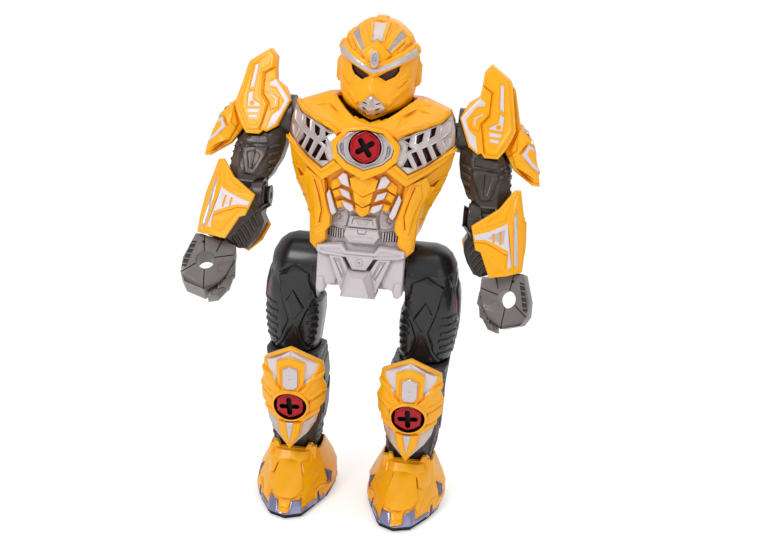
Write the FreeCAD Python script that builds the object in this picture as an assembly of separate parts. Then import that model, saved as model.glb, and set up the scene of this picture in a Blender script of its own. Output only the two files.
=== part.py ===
import FreeCAD, Part
import math
import os
from FreeCAD import Vector

# Standing toy robot made of moulded shells, with turning head, swinging arms and rolling feet.
# Z is up with the ground at z = 0, the front is -Y and +X is the robot's left.
# It is drawn with y = 0 on the leg centre plane; the export shifts it along Y.

# ------------------------------------------------------------------ driving dimensions (mm)
TOTAL_H = 349.5          # top of the helmet above the ground
WALL = 2.2               # moulded wall of the big shells
HEAD_Y = 6.0             # vertical turning axis of the head
HEAD_SPLIT_Y = 6.0       # parting plane of face mask and helmet back
TORSO_SPLIT_Y = 6.0      # parting plane of the chest shells
NECK_TURN = 26.0         # head turn each way that the chest shells are relieved for, deg
NECK_R = 9.0
AXLE_GAP = 0.06          # radial running clearance on pins

SHOULDER_Y, SHOULDER_Z = 8.0, 276.0
SHOULDER_R = 15.5        # shoulder drum
SHOULDER_AXLE_R = 5.0
SHOULDER_FLANGE_R = 7.0
ARM_SWING = 5.16         # deg, the left arm rests back and the right arm forward
FOREARM_SWING = 3.4      # deg, extra at the elbow
ELBOW = Vector(84.0, -14.0, 221.0)
ELBOW_R = 12.0
ELBOW_PIN_R = 2.5
WRIST = Vector(97.0, -31.5, 188.0)
WRIST_PIN_R = 4.0
HAND_CENTRE = Vector(101.8, -46.0, 175.0)
GRIP_R = 6.2             # grip bore of the fist

HIP_Z = 172.0
HIP_R = 24.0             # rounded top of the thigh about the hip axle
HIP_AXLE_R = 3.0
LEG_X = 41.8             # centre plane of the shin guard
PELVIS_HALF_W = 30.0
THIGH_INNER_X = 31.5

EMBLEM_Z = 265.4         # centre height of the chest bolt
BOLT_HEX_R = 9.8         # hex head circumradius of the three turn bolts
BOLT_SHAFT_R = 3.5
BOLT_BORE_R = BOLT_SHAFT_R + AXLE_GAP
CUP_R = 10.9             # recess for a hex head
SHIN_BOLT_Z = 79.3
GUARD_SLOPE = 0.22       # forward lean of the shin guard per mm of height

AA_R, AA_L = 7.1, 50.0   # battery cell
ORIGIN_DY = 13.65        # export shift: puts the origin in the middle of the covered floor
SIDES = (("left", 1), ("right", -1))

PARTS = {}


# ------------------------------------------------------------------ surfaces and solids
def polygon_face(points):
    return Part.Face(Part.makePolygon(list(points) + [points[0]]))


def is_coplanar(points, tolerance=1e-6):
    normal = None
    for i in range(1, len(points) - 1):
        cross = (points[i] - points[0]).cross(points[i + 1] - points[0])
        if cross.Length > 1e-9:
            normal = cross.normalize()
            break
    if normal is None:
        return True
    return all(abs((p - points[0]).dot(normal)) < tolerance for p in points)


def faces_of(points):
    """One planar face, or a fan of triangles when the points are not coplanar."""
    points = [p for i, p in enumerate(points) if (p - points[i - 1]).Length > 1e-7]
    if len(points) < 3:
        return []
    if is_coplanar(points):
        return [polygon_face(points)]
    first = points[0]
    return [polygon_face([first, b, c]) for b, c in zip(points[1:-1], points[2:])
            if (b - first).cross(c - first).Length > 1e-7]


def solid_from(faces):
    shell = Part.makeShell(faces)
    if not shell.isClosed():
        compound = Part.makeCompound(faces)
        compound.sewShape()
        shell = compound.Shells[0]
    solid = Part.makeSolid(shell)
    if solid.Volume < 0:
        solid.reverse()
    return solid


def loft(sections):
    """Faceted solid through polygons with equal point counts; the end polygons are planar."""
    sections = [[Vector(*p) for p in section] for section in sections]
    count = len(sections[0])
    faces = []
    for a, b in zip(sections[:-1], sections[1:]):
        for i in range(count):
            j = (i + 1) % count
            faces += faces_of([a[i], a[j], b[j], b[i]])
    faces += faces_of(sections[0]) + faces_of(sections[-1])
    return solid_from(faces)


def loft_z(rows):
    """Loft through horizontal outlines, rows of (z, [(x, y), ...])."""
    return loft([[(x, y, z) for x, y in outline] for z, outline in rows])


def section_loft(section, table):
    """Loft through section(*sizes) at each height, rows of (z, *sizes)."""
    return loft_z([(z, section(*sizes)) for z, *sizes in table])


def grid(rows):
    """Vertices and quads between equal polylines."""
    n = len(rows[0])
    quads = [[k * n + i, k * n + i + 1, (k + 1) * n + i + 1, (k + 1) * n + i]
             for k in range(len(rows) - 1) for i in range(n - 1)]
    return [p for row in rows for p in row], quads


def sheet(vertices, polygons, shift):
    """Thick plate: the polygons, the same polygons moved by shift, and walls at free edges."""
    vertices = [Vector(*p) for p in vertices]
    shift = Vector(*shift)
    faces = []
    edge_uses = {}
    for polygon in polygons:
        points = [vertices[i] for i in polygon]
        faces += faces_of(points) + faces_of([p + shift for p in points])
        for i in range(len(polygon)):
            edge = tuple(sorted((polygon[i], polygon[(i + 1) % len(polygon)])))
            edge_uses[edge] = edge_uses.get(edge, 0) + 1
    for (i, j), uses in edge_uses.items():
        if uses == 1:
            a, b = vertices[i], vertices[j]
            faces += faces_of([a, b, b + shift, a + shift])
    return solid_from(faces)


# ------------------------------------------------------------------ outlines
def mirrored(half):
    """Close a half outline across x = 0."""
    return list(half) + [(-x, other) for x, other in reversed(half) if x != 0]


def mirrored_rows(rows):
    return [(z, mirrored(half)) for z, half in rows]


def inset(outline, thickness, cx=0.0, cy=0.0):
    """Pull each point towards (cx, cy) by thickness."""
    points = []
    for x, y in outline:
        dx, dy = x - cx, y - cy
        distance = math.hypot(dx, dy)
        factor = max(0.1, (distance - thickness) / distance) if distance > 0 else 0
        points.append((cx + dx * factor, cy + dy * factor))
    return points


def inset_rows(rows, thickness, cx=0.0, cy=0.0):
    return [(z, inset(outline, thickness, cx, cy)) for z, outline in rows]


def scaled(outline, centre, factor_x, factor_z):
    cx, cz = centre
    return [(cx + (x - cx) * factor_x, cz + (z - cz) * factor_z) for x, z in outline]


def at_y(outline, y):
    return [(x, y, z) for x, z in outline]


def octagon(cx, cy, half_x, half_y, flat=0.45):
    """Octagon in a rectangle; flat is the part of each half side left uncut."""
    fx, fy = half_x * flat, half_y * flat
    return [(cx - fx, cy - half_y), (cx + fx, cy - half_y),
            (cx + half_x, cy - fy), (cx + half_x, cy + fy),
            (cx + fx, cy + half_y), (cx - fx, cy + half_y),
            (cx - half_x, cy + fy), (cx - half_x, cy - fy)]


# ------------------------------------------------------------------ primitives and booleans
def prism(outline, y0, y1):
    """Extrude an (x, z) outline from y0 to y1."""
    face = polygon_face([Vector(x, y0, z) for x, z in outline])
    return face.extrude(Vector(0, y1 - y0, 0))


def box(x0, x1, y0, y1, z0, z1):
    return Part.makeBox(x1 - x0, y1 - y0, z1 - z0, Vector(x0, y0, z0))


def rod_x(radius, x0, x1, y, z):
    return Part.makeCylinder(radius, x1 - x0, Vector(x0, y, z), Vector(1, 0, 0))


def rod_y(radius, y0, y1, x, z):
    return Part.makeCylinder(radius, y1 - y0, Vector(x, y0, z), Vector(0, 1, 0))


def neck_rod(radius, z0, z1):
    return Part.makeCylinder(radius, z1 - z0, Vector(0, HEAD_Y, z0), Vector(0, 0, 1))


def shoulder_rod(radius, x0, x1):
    return rod_x(radius, x0, x1, SHOULDER_Y, SHOULDER_Z)


def elbow_rod(radius, x0, x1):
    return rod_x(radius, x0, x1, ELBOW.y, ELBOW.z)


def hip_rod(radius, x0, x1):
    return rod_x(radius, x0, x1, 0, HIP_Z)


def ahead(y):
    """Everything in front of the plane at y."""
    return box(-300, 300, -300, y, -50, 500)


def behind(y):
    return box(-300, 300, y, 300, -50, 500)


def mirror(shape):
    return shape.mirror(Vector(0, 0, 0), Vector(1, 0, 0))


def both(shape):
    return [shape, mirror(shape)]


def rotated(shape, degrees, y, z):
    """Copy turned about the line along X through (y, z)."""
    turned = shape.copy()
    turned.rotate(Vector(0, y, z), Vector(1, 0, 0), degrees)
    return turned


def flatten(shapes):
    flat = []
    for shape in shapes:
        flat += shape if isinstance(shape, list) else [shape]
    return flat


def fuse(*shapes):
    result, *others = flatten(shapes)
    for other in others:
        result = result.fuse(other)
    return result


def cut(shape, *tools):
    for tool in flatten(tools):
        shape = shape.cut(tool)
    return shape


def biggest(shape):
    return max(shape.Solids, key=lambda solid: solid.Volume)


def add_part(name, shape):
    """Store the main solid, without loose scraps left by the booleans."""
    PARTS[name] = biggest(shape)


# ------------------------------------------------------------------ turn bolt
HEX_HEAD_H = 3.6
CROSS_HALF_L, CROSS_HALF_W = 6.6, 1.6
CROSS_DEPTH = 2.6


def turn_bolt(face_centre, axis, shaft_length, cross_turn):
    """Hex head with a cross slot, on a round shaft; axis is the unit inward direction."""
    side = axis.cross(Vector(0, 0, 1))
    side.normalize()
    other = axis.cross(side)
    corners = []
    for k in range(6):
        angle = math.radians(60 * k + 30)
        corners.append(face_centre + side * (BOLT_HEX_R * math.cos(angle))
                       + other * (BOLT_HEX_R * math.sin(angle)))
    head = polygon_face(corners).extrude(axis * HEX_HEAD_H)
    shaft = Part.makeCylinder(BOLT_SHAFT_R, shaft_length, face_centre + axis * 3.4, axis)
    slots = []
    start = face_centre - axis
    for degrees in (0, 90):
        angle = math.radians(degrees + cross_turn)
        along = side * math.cos(angle) + other * math.sin(angle)
        across = axis.cross(along) * CROSS_HALF_W
        along = along * CROSS_HALF_L
        slot = polygon_face([start + along + across, start - along + across,
                             start - along - across, start + along - across])
        slots.append(slot.extrude(axis * (1 + CROSS_DEPTH)))
    return cut(fuse(head, shaft), slots)


# ------------------------------------------------------------------ torso shells
# z, half outline (x, y) from front centre to back centre
TORSO_ROWS = mirrored_rows([
    (216, [(0, -33), (17, -31), (33, -24), (40, -8), (40, 11), (32, 24), (13, 30), (0, 30)]),
    (228, [(0, -35), (19, -33), (34, -25), (43, -8), (43, 12), (34, 26), (14, 32), (0, 32)]),
    (240, [(0, -37), (20, -35), (38, -26), (49, -8), (49, 13), (38, 28), (15, 34), (0, 34)]),
    (250, [(0, -39), (22, -37), (42, -25), (55, -9), (55, 14), (43, 30), (16, 36), (0, 36)]),
    (262, [(0, -40), (24, -37), (42, -26), (57, -11), (57, 14), (46, 30), (17, 37), (0, 37)]),
    (270, [(0, -40), (22, -37), (40, -26), (57, -10), (57, 14), (47, 30), (17, 37), (0, 37)]),
    (277, [(0, -37), (18, -35), (36, -27), (55, -11), (56, 13), (47, 29), (16, 37), (0, 37)]),
    (283, [(0, -24), (16, -24), (43, -19), (53, -10), (55, 12), (46, 28), (16, 36), (0, 36)]),
    (290, [(0, -12), (22, -12), (40, -9), (51, -8), (52, 10), (44, 26), (14, 34), (0, 34)]),
    (296, [(0, -4), (26, -4), (33, -4), (35, 2), (35, 16), (30, 28), (12, 32), (0, 32)]),
])
# V opening in front of the neck, (x, z)
NECK_NOTCH = mirrored([(0, 280.0), (9.4, 283.6), (17, 286.8), (24.4, 292.6), (28, 296), (28, 320)])
# proud chest band under the grille: polylines (x, y, z) from its upper to its lower edge
BAND_ROWS = [
    [(57.3, -12, 268.0), (56.0, -15, 266.0), (50.4, -21, 261.9), (45.2, -25, 258.2),
     (40.1, -29, 254.6), (34.4, -34, 251.4), (28.6, -38, 248.5)],
    [(57.3, -14.5, 266.5), (56.0, -17.5, 264.4), (50.4, -23.5, 260.2), (45.2, -27.6, 256.5),
     (40.1, -31.6, 252.9), (34.4, -36.6, 249.6), (28.4, -41, 246.3)],
    [(57.3, -14.5, 262.5), (55.5, -17.5, 260.0), (49.4, -23.5, 254.8), (43.5, -28.5, 250.9),
     (38.2, -33.0, 247.4), (33.2, -37.5, 244.1), (28.2, -41, 240.9)],
]
# short leg of the band that rises to the bezel
BAND_LEG_ROWS = [
    [(28.6, -38, 248.5), (20.5, -40.5, 255.5)],
    [(28.4, -41, 246.3), (19.3, -43, 253.8)],
    [(28.2, -41, 240.9), (13.2, -43.5, 251.0)],
]
# raised bezel around the emblem and its opening, (x, z)
BEZEL_OUTER = mirrored([(0, 243.8), (13.4, 250.2), (21.4, 257.4), (22.7, 266.9), (20.2, 270.2),
                        (12.5, 277.0), (0, 279.0)])
BEZEL_INNER = mirrored([(0, 250), (11.8, 254.3), (18.0, 260), (19.2, 265), (17.3, 267.8),
                        (11.0, 275.2), (0, 277.0)])
# centre plates of the abdomen: y front, y back, half outline (x, z)
SPINE = [
    (-41.2, -34, [(0, 231.9), (1, 232.4), (7.8, 236.3), (9.6, 243.5), (0, 246.0)]),
    (-40.0, -33, [(0, 231.4), (6.9, 235.3), (5.1, 227.5), (0, 224.4)]),
    (-38.8, -32, [(0, 223.9), (5.1, 226.0), (4.0, 220.9), (2.4, 218.7), (0, 217.8)]),
]
# abdomen ribs beside them on the +X side, (x, z)
RIBS = [
    [(14.2, 247.0), (17.8, 243.3), (14.9, 239.0), (9.2, 237.4), (11.6, 245.8)],
    [(9.6, 233.8), (16.1, 236.1), (14.3, 231.4), (8.0, 228.8)],
    [(6.6, 225.2), (13.9, 227.8), (12.4, 223.8), (8.2, 220.9), (5.8, 222.0)],
]
# long side blade and the flank panel behind it: vertices (x, y, z), then polygons
BLADE = (
    [(26.5, -33.5, 240), (25.4, -32.5, 229), (21.7, -32, 217), (21.9, -31.5, 208.4),
     (24.6, -31, 204.6), (24.4, -31, 198.8), (31.0, -30, 190.3), (36.0, -29.5, 195.2),
     (36.9, -29, 205.2), (37.5, -28, 216.5), (40.5, -27, 228), (47, -25, 240)],
    [[0, 1, 10, 11], [1, 2, 9, 10], [2, 3, 8, 9], [3, 4, 8], [4, 5, 7, 8], [5, 6, 7]])
FLANK = (
    [(37.5, -28, 216.5), (36.9, -29, 205.2), (38.5, -8, 207.0), (42.0, -8, 218.0),
     (44.0, -8, 229.0), (40.5, -27, 228.0), (37.5, 4, 214.0), (40.5, 6, 222.0)],
    [[0, 1, 2, 3], [0, 3, 4, 5], [3, 2, 6], [3, 6, 7], [3, 7, 4]])
# cut under the stepped lower front edge, (x, z)
LOWER_TRIM = mirrored([(0, 217.4), (2.6, 218.4), (6.5, 220.5), (9, 220.4), (15, 225.2),
                       (19.3, 222.2), (21.9, 214.0), (60, 214), (60, 180)])
# grille on the +X side: polylines (x, y, z) from top to bottom
GRILLE_ROWS = [
    [(20.6, -38.4, 269.8), (26.5, -36.0, 272.9), (33.0, -31.6, 275.3),
     (40.0, -25.6, 278.0), (47.8, -17.4, 281.4), (53.0, -11.4, 286.6)],
    [(20.6, -41.0, 262.5), (28.0, -38.4, 266.5), (33.5, -34.4, 268.0),
     (41.0, -28.0, 270.5), (48.6, -19.6, 272.5), (56.2, -11.6, 273.5)],
    [(21.2, -40.0, 256.0), (28.6, -38.4, 249.6), (36.0, -33.2, 253.2),
     (44.6, -25.8, 258.8), (50.4, -20.6, 262.8), (56.8, -12.2, 267.6)],
]
# window for it in the shell, and the slots through it, (x, z)
GRILLE_WINDOW = [
    (20.6, 270.4), (26.5, 273.2), (33.0, 275.6), (40.0, 278.3), (47.8, 281.7), (53.2, 286.8),
    (56.8, 274), (57.2, 267.2), (50.4, 262.2), (44.6, 258.2), (36, 252.6), (28.6, 248.8),
    (20.8, 255.6)]
GRILLE_SLOTS = [
    [(44.1, 280.2), (40.6, 278.6), (40.2, 272.3), (43.4, 274.4)],
    [(36.6, 276.4), (32.2, 274.2), (32.2, 269.6), (33.6, 268.8), (36.0, 271.0)],
    [(28.3, 273.0), (24.4, 271.3), (27.9, 269.2)],
    [(30.3, 266.0), (27.2, 267.8), (27.2, 264.2)],
    [(44.8, 269.8), (42.0, 268.2), (45.9, 260.0), (48.8, 261.6)],
    [(39.2, 267.3), (36.0, 265.8), (40.0, 256.4), (43.3, 258.4)],
    [(32.7, 264.4), (29.5, 263.0), (34.2, 253.8), (37.2, 255.4)],
    [(27.8, 260.2), (25.0, 253.9), (31.2, 253.2)],
]
BACKING_DY = 4.2         # backing sheet behind the grille surface
# low part of the head, a little oversize: z, half outline (x, y)
HEAD_RELIEF_ROWS = mirrored_rows([
    (280.4, [(0, -25.4), (6.0, -23.2), (7.6, -20), (7.6, -16), (6, -12), (4, -10), (0, -9)]),
    (285.5, [(0, -27.0), (9.6, -22.6), (14.2, -16), (15.2, -8), (13.6, 0), (8, 6.6), (0, 8.6)]),
    (291.0, [(0, -27.8), (11.1, -23.6), (20.1, -13.4), (22.7, 0), (20.7, 14.4),
             (12.5, 22.7), (0, 25.7)]),
    (297.0, [(0, -27.8), (12.1, -23.6), (22.1, -13.4), (25.7, 2), (23.7, 18.4),
             (13.5, 29.7), (0, 32.7)]),
    (305.0, [(0, -26.3), (13.1, -22.6), (23.1, -13.4), (27.5, 4), (25.2, 20.4),
             (14.6, 32.7), (0, 35.7)]),
])
# oversize outline of the mouth plate, (x, z)
CHIN_RELIEF = mirrored([(0, 299.0), (5.4, 295.2), (10.4, 289.6), (7.8, 285.4), (0, 281.6)])
DOOR_HALF_W, DOOR_Z0, DOOR_Z1 = 24, 226, 262     # battery door opening
DOOR_GAP = 0.3
SCREW_PLACES = ((-36, 246), (36, 246), (-40, 276), (40, 276))     # (x, z)


def torso_cavity():
    rows = [(z - (WALL if z > 290 else 0), outline)
            for z, outline in inset_rows(TORSO_ROWS, WALL + 0.4)]
    return loft_z([(214, rows[0][1])] + rows)


def neck_hole():
    return neck_rod(22.5, 275, 305)


def neck_notch():
    return prism(NECK_NOTCH, -30, 8)


def bolt_clearance():
    return rod_y(BOLT_SHAFT_R + 3.2, -60, 20, 0, EMBLEM_Z)


def chest_front_blank(outer, cavity):
    """Front shell with its bands, bezel, ribs, blades and flanks, before any insert."""
    bands = [*both(sheet(*grid(BAND_ROWS), (0, 4.0, 0))),
             *both(sheet(*grid(BAND_LEG_ROWS), (0, 5.0, 0)))]
    spine = [prism(mirrored(half), y0, y1) for y0, y1, half in SPINE]
    ribs = []
    for outline in RIBS:
        ribs += both(prism(outline, -38.6, -32))
    front = fuse(outer, bands, prism(BEZEL_OUTER, -45.0, -37.0), spine, ribs)
    front = cut(front, cavity, behind(TORSO_SPLIT_Y), prism(LOWER_TRIM, -60, 0),
                neck_notch(), neck_hole())
    front = fuse(front, both(sheet(*BLADE, (0, 2.4, 0))), both(sheet(*FLANK, (-2.0, 0, 0))))
    return cut(front, neck_hole(), behind(TORSO_SPLIT_Y))


def chest_back_blank(shell):
    """Back shell with door and switch openings and the collar that carries the neck."""
    back = cut(shell, ahead(TORSO_SPLIT_Y), neck_hole(), neck_notch())
    back = cut(back, box(-DOOR_HALF_W, DOOR_HALF_W, 20, 60, DOOR_Z0, DOOR_Z1),
               box(-7, 7, 20, 60, 266, 272))
    collar = cut(fuse(neck_rod(NECK_R + 4.0, 268, 277),
                      box(-3, 3, HEAD_Y + 8, 34.5, 272.6, 277)),
                 neck_rod(NECK_R + AXLE_GAP, 262, 292))
    return fuse(back, collar)


def battery_door(shell):
    half_w = DOOR_HALF_W - DOOR_GAP
    return box(-half_w, half_w, 20, 60, DOOR_Z0 + DOOR_GAP, DOOR_Z1 - DOOR_GAP).common(shell)


def chest_grille():
    """Slotted insert on both sides, joined by a bar behind the bezel."""
    half = cut(sheet(*grid(GRILLE_ROWS), (0, 1.8, 0)),
               [prism(slot, -60, 4) for slot in GRILLE_SLOTS])
    bar = box(-21.0, 21.0, -37.0, -35.4, 258.0, 266.0)
    ends = both(box(20.0, 22.0, -40.6, -35.4, 258.0, 266.0))
    return cut(fuse(half, mirror(half), bar, ends), bolt_clearance())


def grille_backing(grille):
    rows = [[(x, y + BACKING_DY, z) for x, y, z in row] for row in GRILLE_ROWS]
    half = sheet(*grid(rows), (0, 1.2, 0))
    bar = box(-21.0, 21.0, -34.4, -33.0, 258.0, 266.0)
    ends = both(box(19.5, 22.0, -36.6, -33.0, 258.0, 266.0))
    return cut(fuse(half, mirror(half), bar, ends), bolt_clearance(), grille)


def emblem_bezel():
    """Frame inside the raised bezel, with a round cup for the bolt head."""
    frame = prism(scaled(BEZEL_INNER, (0, EMBLEM_Z), 0.985, 0.985), -44.4, -38.7)
    cup = rod_y(CUP_R + 0.9, -46.0, -38.7, 0, EMBLEM_Z)
    return cut(fuse(frame, cup), rod_y(CUP_R, -50, -41.2, 0, EMBLEM_Z),
               rod_y(BOLT_BORE_R, -60, 0, 0, EMBLEM_Z))


def head_turns(shape):
    """Copies of the shape at steps of the head's travel."""
    copies = []
    for degrees in (0.0, NECK_TURN, NECK_TURN / 2, -NECK_TURN / 2, -NECK_TURN):
        turned = shape.copy()
        turned.rotate(Vector(0, HEAD_Y, 0), Vector(0, 0, 1), degrees)
        copies.append(turned)
    return copies


def power_switch(back):
    knob = box(-3.0, 3.0, 31.5, 40.0, 267.0, 271.0)
    plate = box(-6.4, 6.4, 29.6, 31.5, 266.4, 271.6)
    return cut(fuse(knob, plate), back)


def build_torso():
    outer = loft_z(TORSO_ROWS)
    cavity = torso_cavity()
    shell = cut(outer, cavity)
    back = chest_back_blank(shell)
    grille = chest_grille()
    backing = grille_backing(grille)
    emblem = emblem_bezel()
    head_relief = head_turns(loft_z(HEAD_RELIEF_ROWS))
    front = cut(chest_front_blank(outer, cavity), both(prism(GRILLE_WINDOW, -60, 4)), grille,
                prism(BEZEL_INNER, -60, -38.6), box(-21.3, 21.3, -37.3, -35.2, 257.7, 266.3),
                bolt_clearance(), backing, emblem, back,
                head_relief, head_turns(prism(CHIN_RELIEF, -30.4, -22.0)))
    back = cut(back, head_relief)
    add_part("chest_front_shell", front)
    add_part("chest_back_shell", back)
    add_part("chest_grille", grille)
    add_part("grille_backing", backing)
    add_part("emblem_bezel", emblem)
    add_part("chest_bolt", turn_bolt(Vector(0, -45.2, EMBLEM_Z), Vector(0, 1, 0), 22.0, 30.0))
    add_part("battery_door", battery_door(shell))
    add_part("power_switch", power_switch(back))


def bore_chest_shells():
    """Shoulder bearings and screw head holes, made after the waist is fitted to the shells."""
    names = ("chest_front_shell", "chest_back_shell")
    for _, sign in SIDES:
        bore = shoulder_rod(SHOULDER_AXLE_R + AXLE_GAP, 45.0, 60.0)
        groove = shoulder_rod(SHOULDER_FLANGE_R + 0.4, 49.5, 52.2)
        if sign < 0:
            bore, groove = mirror(bore), mirror(groove)
        for name in names:
            PARTS[name] = biggest(cut(PARTS[name], bore, groove))
    for name in names:
        holes = [rod_y(2.4, 24.0, 60, x, z) for x, z in SCREW_PLACES]
        PARTS[name] = biggest(cut(PARTS[name], holes))


# ------------------------------------------------------------------ inside of the torso
def battery_cells():
    return Part.makeCompound([rod_x(AA_R, -AA_L / 2, AA_L / 2, y, z)
                              for y, z in ((18.0, 236.0), (18.0, 251.0), (3.0, 243.5))])


def battery_contacts():
    plates = []
    for x in (-26.6, 25.3):
        plates += [box(x, x + 1.0, 13, 23, 232, 255), box(x, x + 1.0, -3, 9, 239, 248)]
    return Part.makeCompound(plates)


def torso_screws():
    return Part.makeCompound([fuse(rod_y(2.2, 24.0, 26.0, x, z), rod_y(1.3, -2.0, 24.0, x, z))
                              for x, z in SCREW_PLACES])


def speaker():
    x, z = -27.0, 258.0
    return fuse(rod_y(10.5, -19.0, -16.0, x, z), rod_y(6.0, -16.0, -11.0, x, z))


def gear_motor():
    return fuse(rod_x(9.5, -16, 8, 6, 198.5), box(8, 15, -6, 16, 183.0, 214.0),
                rod_x(2.0, -19, -16, 6, 198.5))


def drive_crank():
    return fuse(rod_x(7.0, 15.4, 18.4, 6, 205.0), rod_x(1.6, 18.4, 20.6, 6, 209.5))


def build_torso_inside():
    PARTS["battery_cells"] = battery_cells()
    PARTS["battery_contacts"] = battery_contacts()
    PARTS["torso_screws"] = torso_screws()
    add_part("circuit_board", box(-24, 24, -14.0, -12.4, 226, 252))
    add_part("speaker", speaker())
    add_part("gear_motor", gear_motor())
    add_part("drive_crank", drive_crank())


# ------------------------------------------------------------------ waist and pelvis
# z, half outline (x, y) from front centre to back centre
WAIST_ROWS = mirrored_rows([
    (165, [(0, -24), (19, -24), (20, -22), (20, -8), (20, 8), (20, 20), (12, 22), (0, 22)]),
    (182, [(0, -27), (20, -27), (29.6, -23), (29.6, -8), (29.6, 8), (27, 20), (12, 25), (0, 25)]),
    (186, [(0, -28), (22, -28), (30, -25), (30, -8), (30, 8), (27, 21), (12, 26), (0, 26)]),
    (191.5, [(0, -30), (24, -29.5), (30, -26), (30, -8), (30, 8), (27, 21), (12, 27), (0, 27)]),
    (196, [(0, -28), (20, -27), (26, -24), (28, -8), (28, 8), (25, 20), (12, 26), (0, 26)]),
    (206, [(0, -28.5), (14, -27), (23, -24), (29, -8), (29, 8), (25, 20), (12, 26), (0, 26)]),
    (222, [(0, -29), (14, -27), (24, -21), (30, -8), (30, 8), (26, 20), (12, 26), (0, 26)]),
])
# raised plates on the waist front, (x, z)
BELT = mirrored([(10.5, 188.6), (25.5, 189.2), (30.5, 190.8), (30.5, 194.0),
                 (12.8, 196.5), (9.6, 192.2)])
UPPER_BLOCK = mirrored([(8.8, 216.4), (10.4, 208.4)])
LOWER_BLOCK = mirrored([(10.8, 208.2), (12.2, 203.2), (8.6, 198.2)])
CENTRE_TRAPEZOID = mirrored([(9.8, 190.0), (4.0, 180.2)])
# front block of the pelvis: y, half width and z of the top, half width and z of the bottom
PELVIS_BLOCK = [
    (-44.2, 4.0, 176.3, 9.3, 162.6),
    (-36.0, 8.0, 179.6, 12.0, 160.4),
    (-22.0, 9.0, 181.0, 13.0, 163.0),
]
SIDE_PLATE_X = 20.2


def side_plate():
    """Side plate of the pelvis with a rounded lower edge."""
    disc = rod_x(15.0, SIDE_PLATE_X, PELVIS_HALF_W, 0, 174.0)
    return fuse(box(SIDE_PLATE_X, PELVIS_HALF_W, -15.0, 15.0, 166.0, 184.0),
                disc.common(box(10, 40, -20, 20, 150, 175)))


def pelvis_block():
    nose, middle, rear = [
        [(-top, y, z_top), (top, y, z_top), (bottom, y, z_bottom), (-bottom, y, z_bottom)]
        for y, top, z_top, bottom, z_bottom in PELVIS_BLOCK]
    return fuse(loft([nose, middle]), loft([middle, rear]))


def pelvis_strut():
    """Slanting bar from the belt down to the pelvis block."""
    return loft([[(20.6, -29.5, 188.8), (15.8, -29.5, 188.8),
                  (8.6, -31.0, 168.0), (12.4, -31.0, 166.0)],
                 [(20.6, -24.0, 188.8), (15.8, -24.0, 188.8),
                  (8.6, -22.0, 168.0), (12.4, -22.0, 166.0)]])


def waist_body():
    belt = prism(BELT, -31.5, -24).common(
        box(-PELVIS_HALF_W, PELVIS_HALF_W, -60, 0, 150, 220))
    body = fuse(loft_z(WAIST_ROWS), both(side_plate()), belt, prism(UPPER_BLOCK, -31.6, -26),
                prism(LOWER_BLOCK, -33.2, -26), prism(CENTRE_TRAPEZOID, -31.0, -24),
                pelvis_block(), both(pelvis_strut()))
    cavity_rows = [(162, WAIST_ROWS[0][1])] + WAIST_ROWS[1:-1] + [(230, WAIST_ROWS[-1][1])]
    # the cavity stays clear of the side plates and of the lower front
    cavity = cut(loft_z(inset_rows(cavity_rows, WALL)), both(box(20.0, 60, -60, 60, 100, 186)),
                 box(-60, 60, -60, -20, 150, 182))
    return cut(body, cavity, hip_rod(HIP_AXLE_R + AXLE_GAP, -70, 70))


def build_waist():
    body = waist_body()
    chest = [PARTS["chest_front_shell"], PARTS["chest_back_shell"]]
    add_part("waist_front", cut(body, behind(0.0), chest))
    add_part("waist_back", cut(body, ahead(0.0), chest, PARTS["battery_door"]))
    add_part("hip_axle", hip_rod(HIP_AXLE_R, -58, 58))


# ------------------------------------------------------------------ head
# z, half outline (x, y) from front centre to back centre
HEAD_ROWS = mirrored_rows([
    (281.0, [(0, -24.6), (5.5, -22.5), (7, -20), (7, -16), (6, -12), (4, -10), (0, -9)]),
    (285.5, [(0, -26.2), (9, -22.0), (13.5, -16), (14.5, -8), (13, 0), (8, 6), (0, 8)]),
    (291.0, [(0, -27.0), (10.5, -23.0), (19.5, -13), (22, 0), (20, 14), (12, 22), (0, 25)]),
    (297.0, [(0, -27.0), (11.5, -23.0), (21.5, -13), (25, 2), (23, 18), (13, 29), (0, 32)]),
    (305.0, [(0, -25.5), (12.5, -22.0), (22.5, -13), (26.8, 4), (24.5, 20), (14, 32), (0, 35)]),
    (314.0, [(0, -24.8), (13.0, -21.5), (23.5, -12), (28.0, 5), (25.5, 22), (14.5, 33), (0, 36)]),
    (323.0, [(0, -24.0), (12.5, -20.6), (22.5, -11), (27.4, 6), (25.0, 22), (14.5, 33), (0, 36)]),
    (332.0, [(0, -19.8), (11.5, -16.6), (20.0, -8), (24.6, 7), (22.5, 22), (13, 31), (0, 34)]),
    (340.0, [(0, -13.0), (9.5, -10.5), (15.5, -3), (19.6, 8), (18.0, 20), (11, 27), (0, 30)]),
    (346.0, [(0, -4.5), (7.5, -3.0), (11.0, 2), (13.0, 9), (12.0, 18), (8, 23), (0, 25)]),
    (TOTAL_H, [(0, 3.0), (4.0, 3.5), (5.5, 6), (6.5, 10), (6.0, 15), (4, 18), (0, 19)]),
])
# rear crest: z, half outline (x, y)
CREST_ROWS = mirrored_rows([
    (322, [(4.5, 33), (4.0, 39)]),
    (338, [(6, 22), (5.5, 36)]),
    (349.6, [(7, 5), (6, 22)]),
])
# brow ridge: x and y of its front edge, x and y of its back edge, z bottom, z top
BROW = [
    (0, -26.4, 0, -20.0, 311.8, 315.6),
    (9, -24.8, 9, -18.0, 315.2, 319.0),
    (17, -20.0, 17, -12.0, 319.6, 323.6),
    (24.4, -11.8, 21.0, -5.0, 324.2, 329.0),
]
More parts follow.
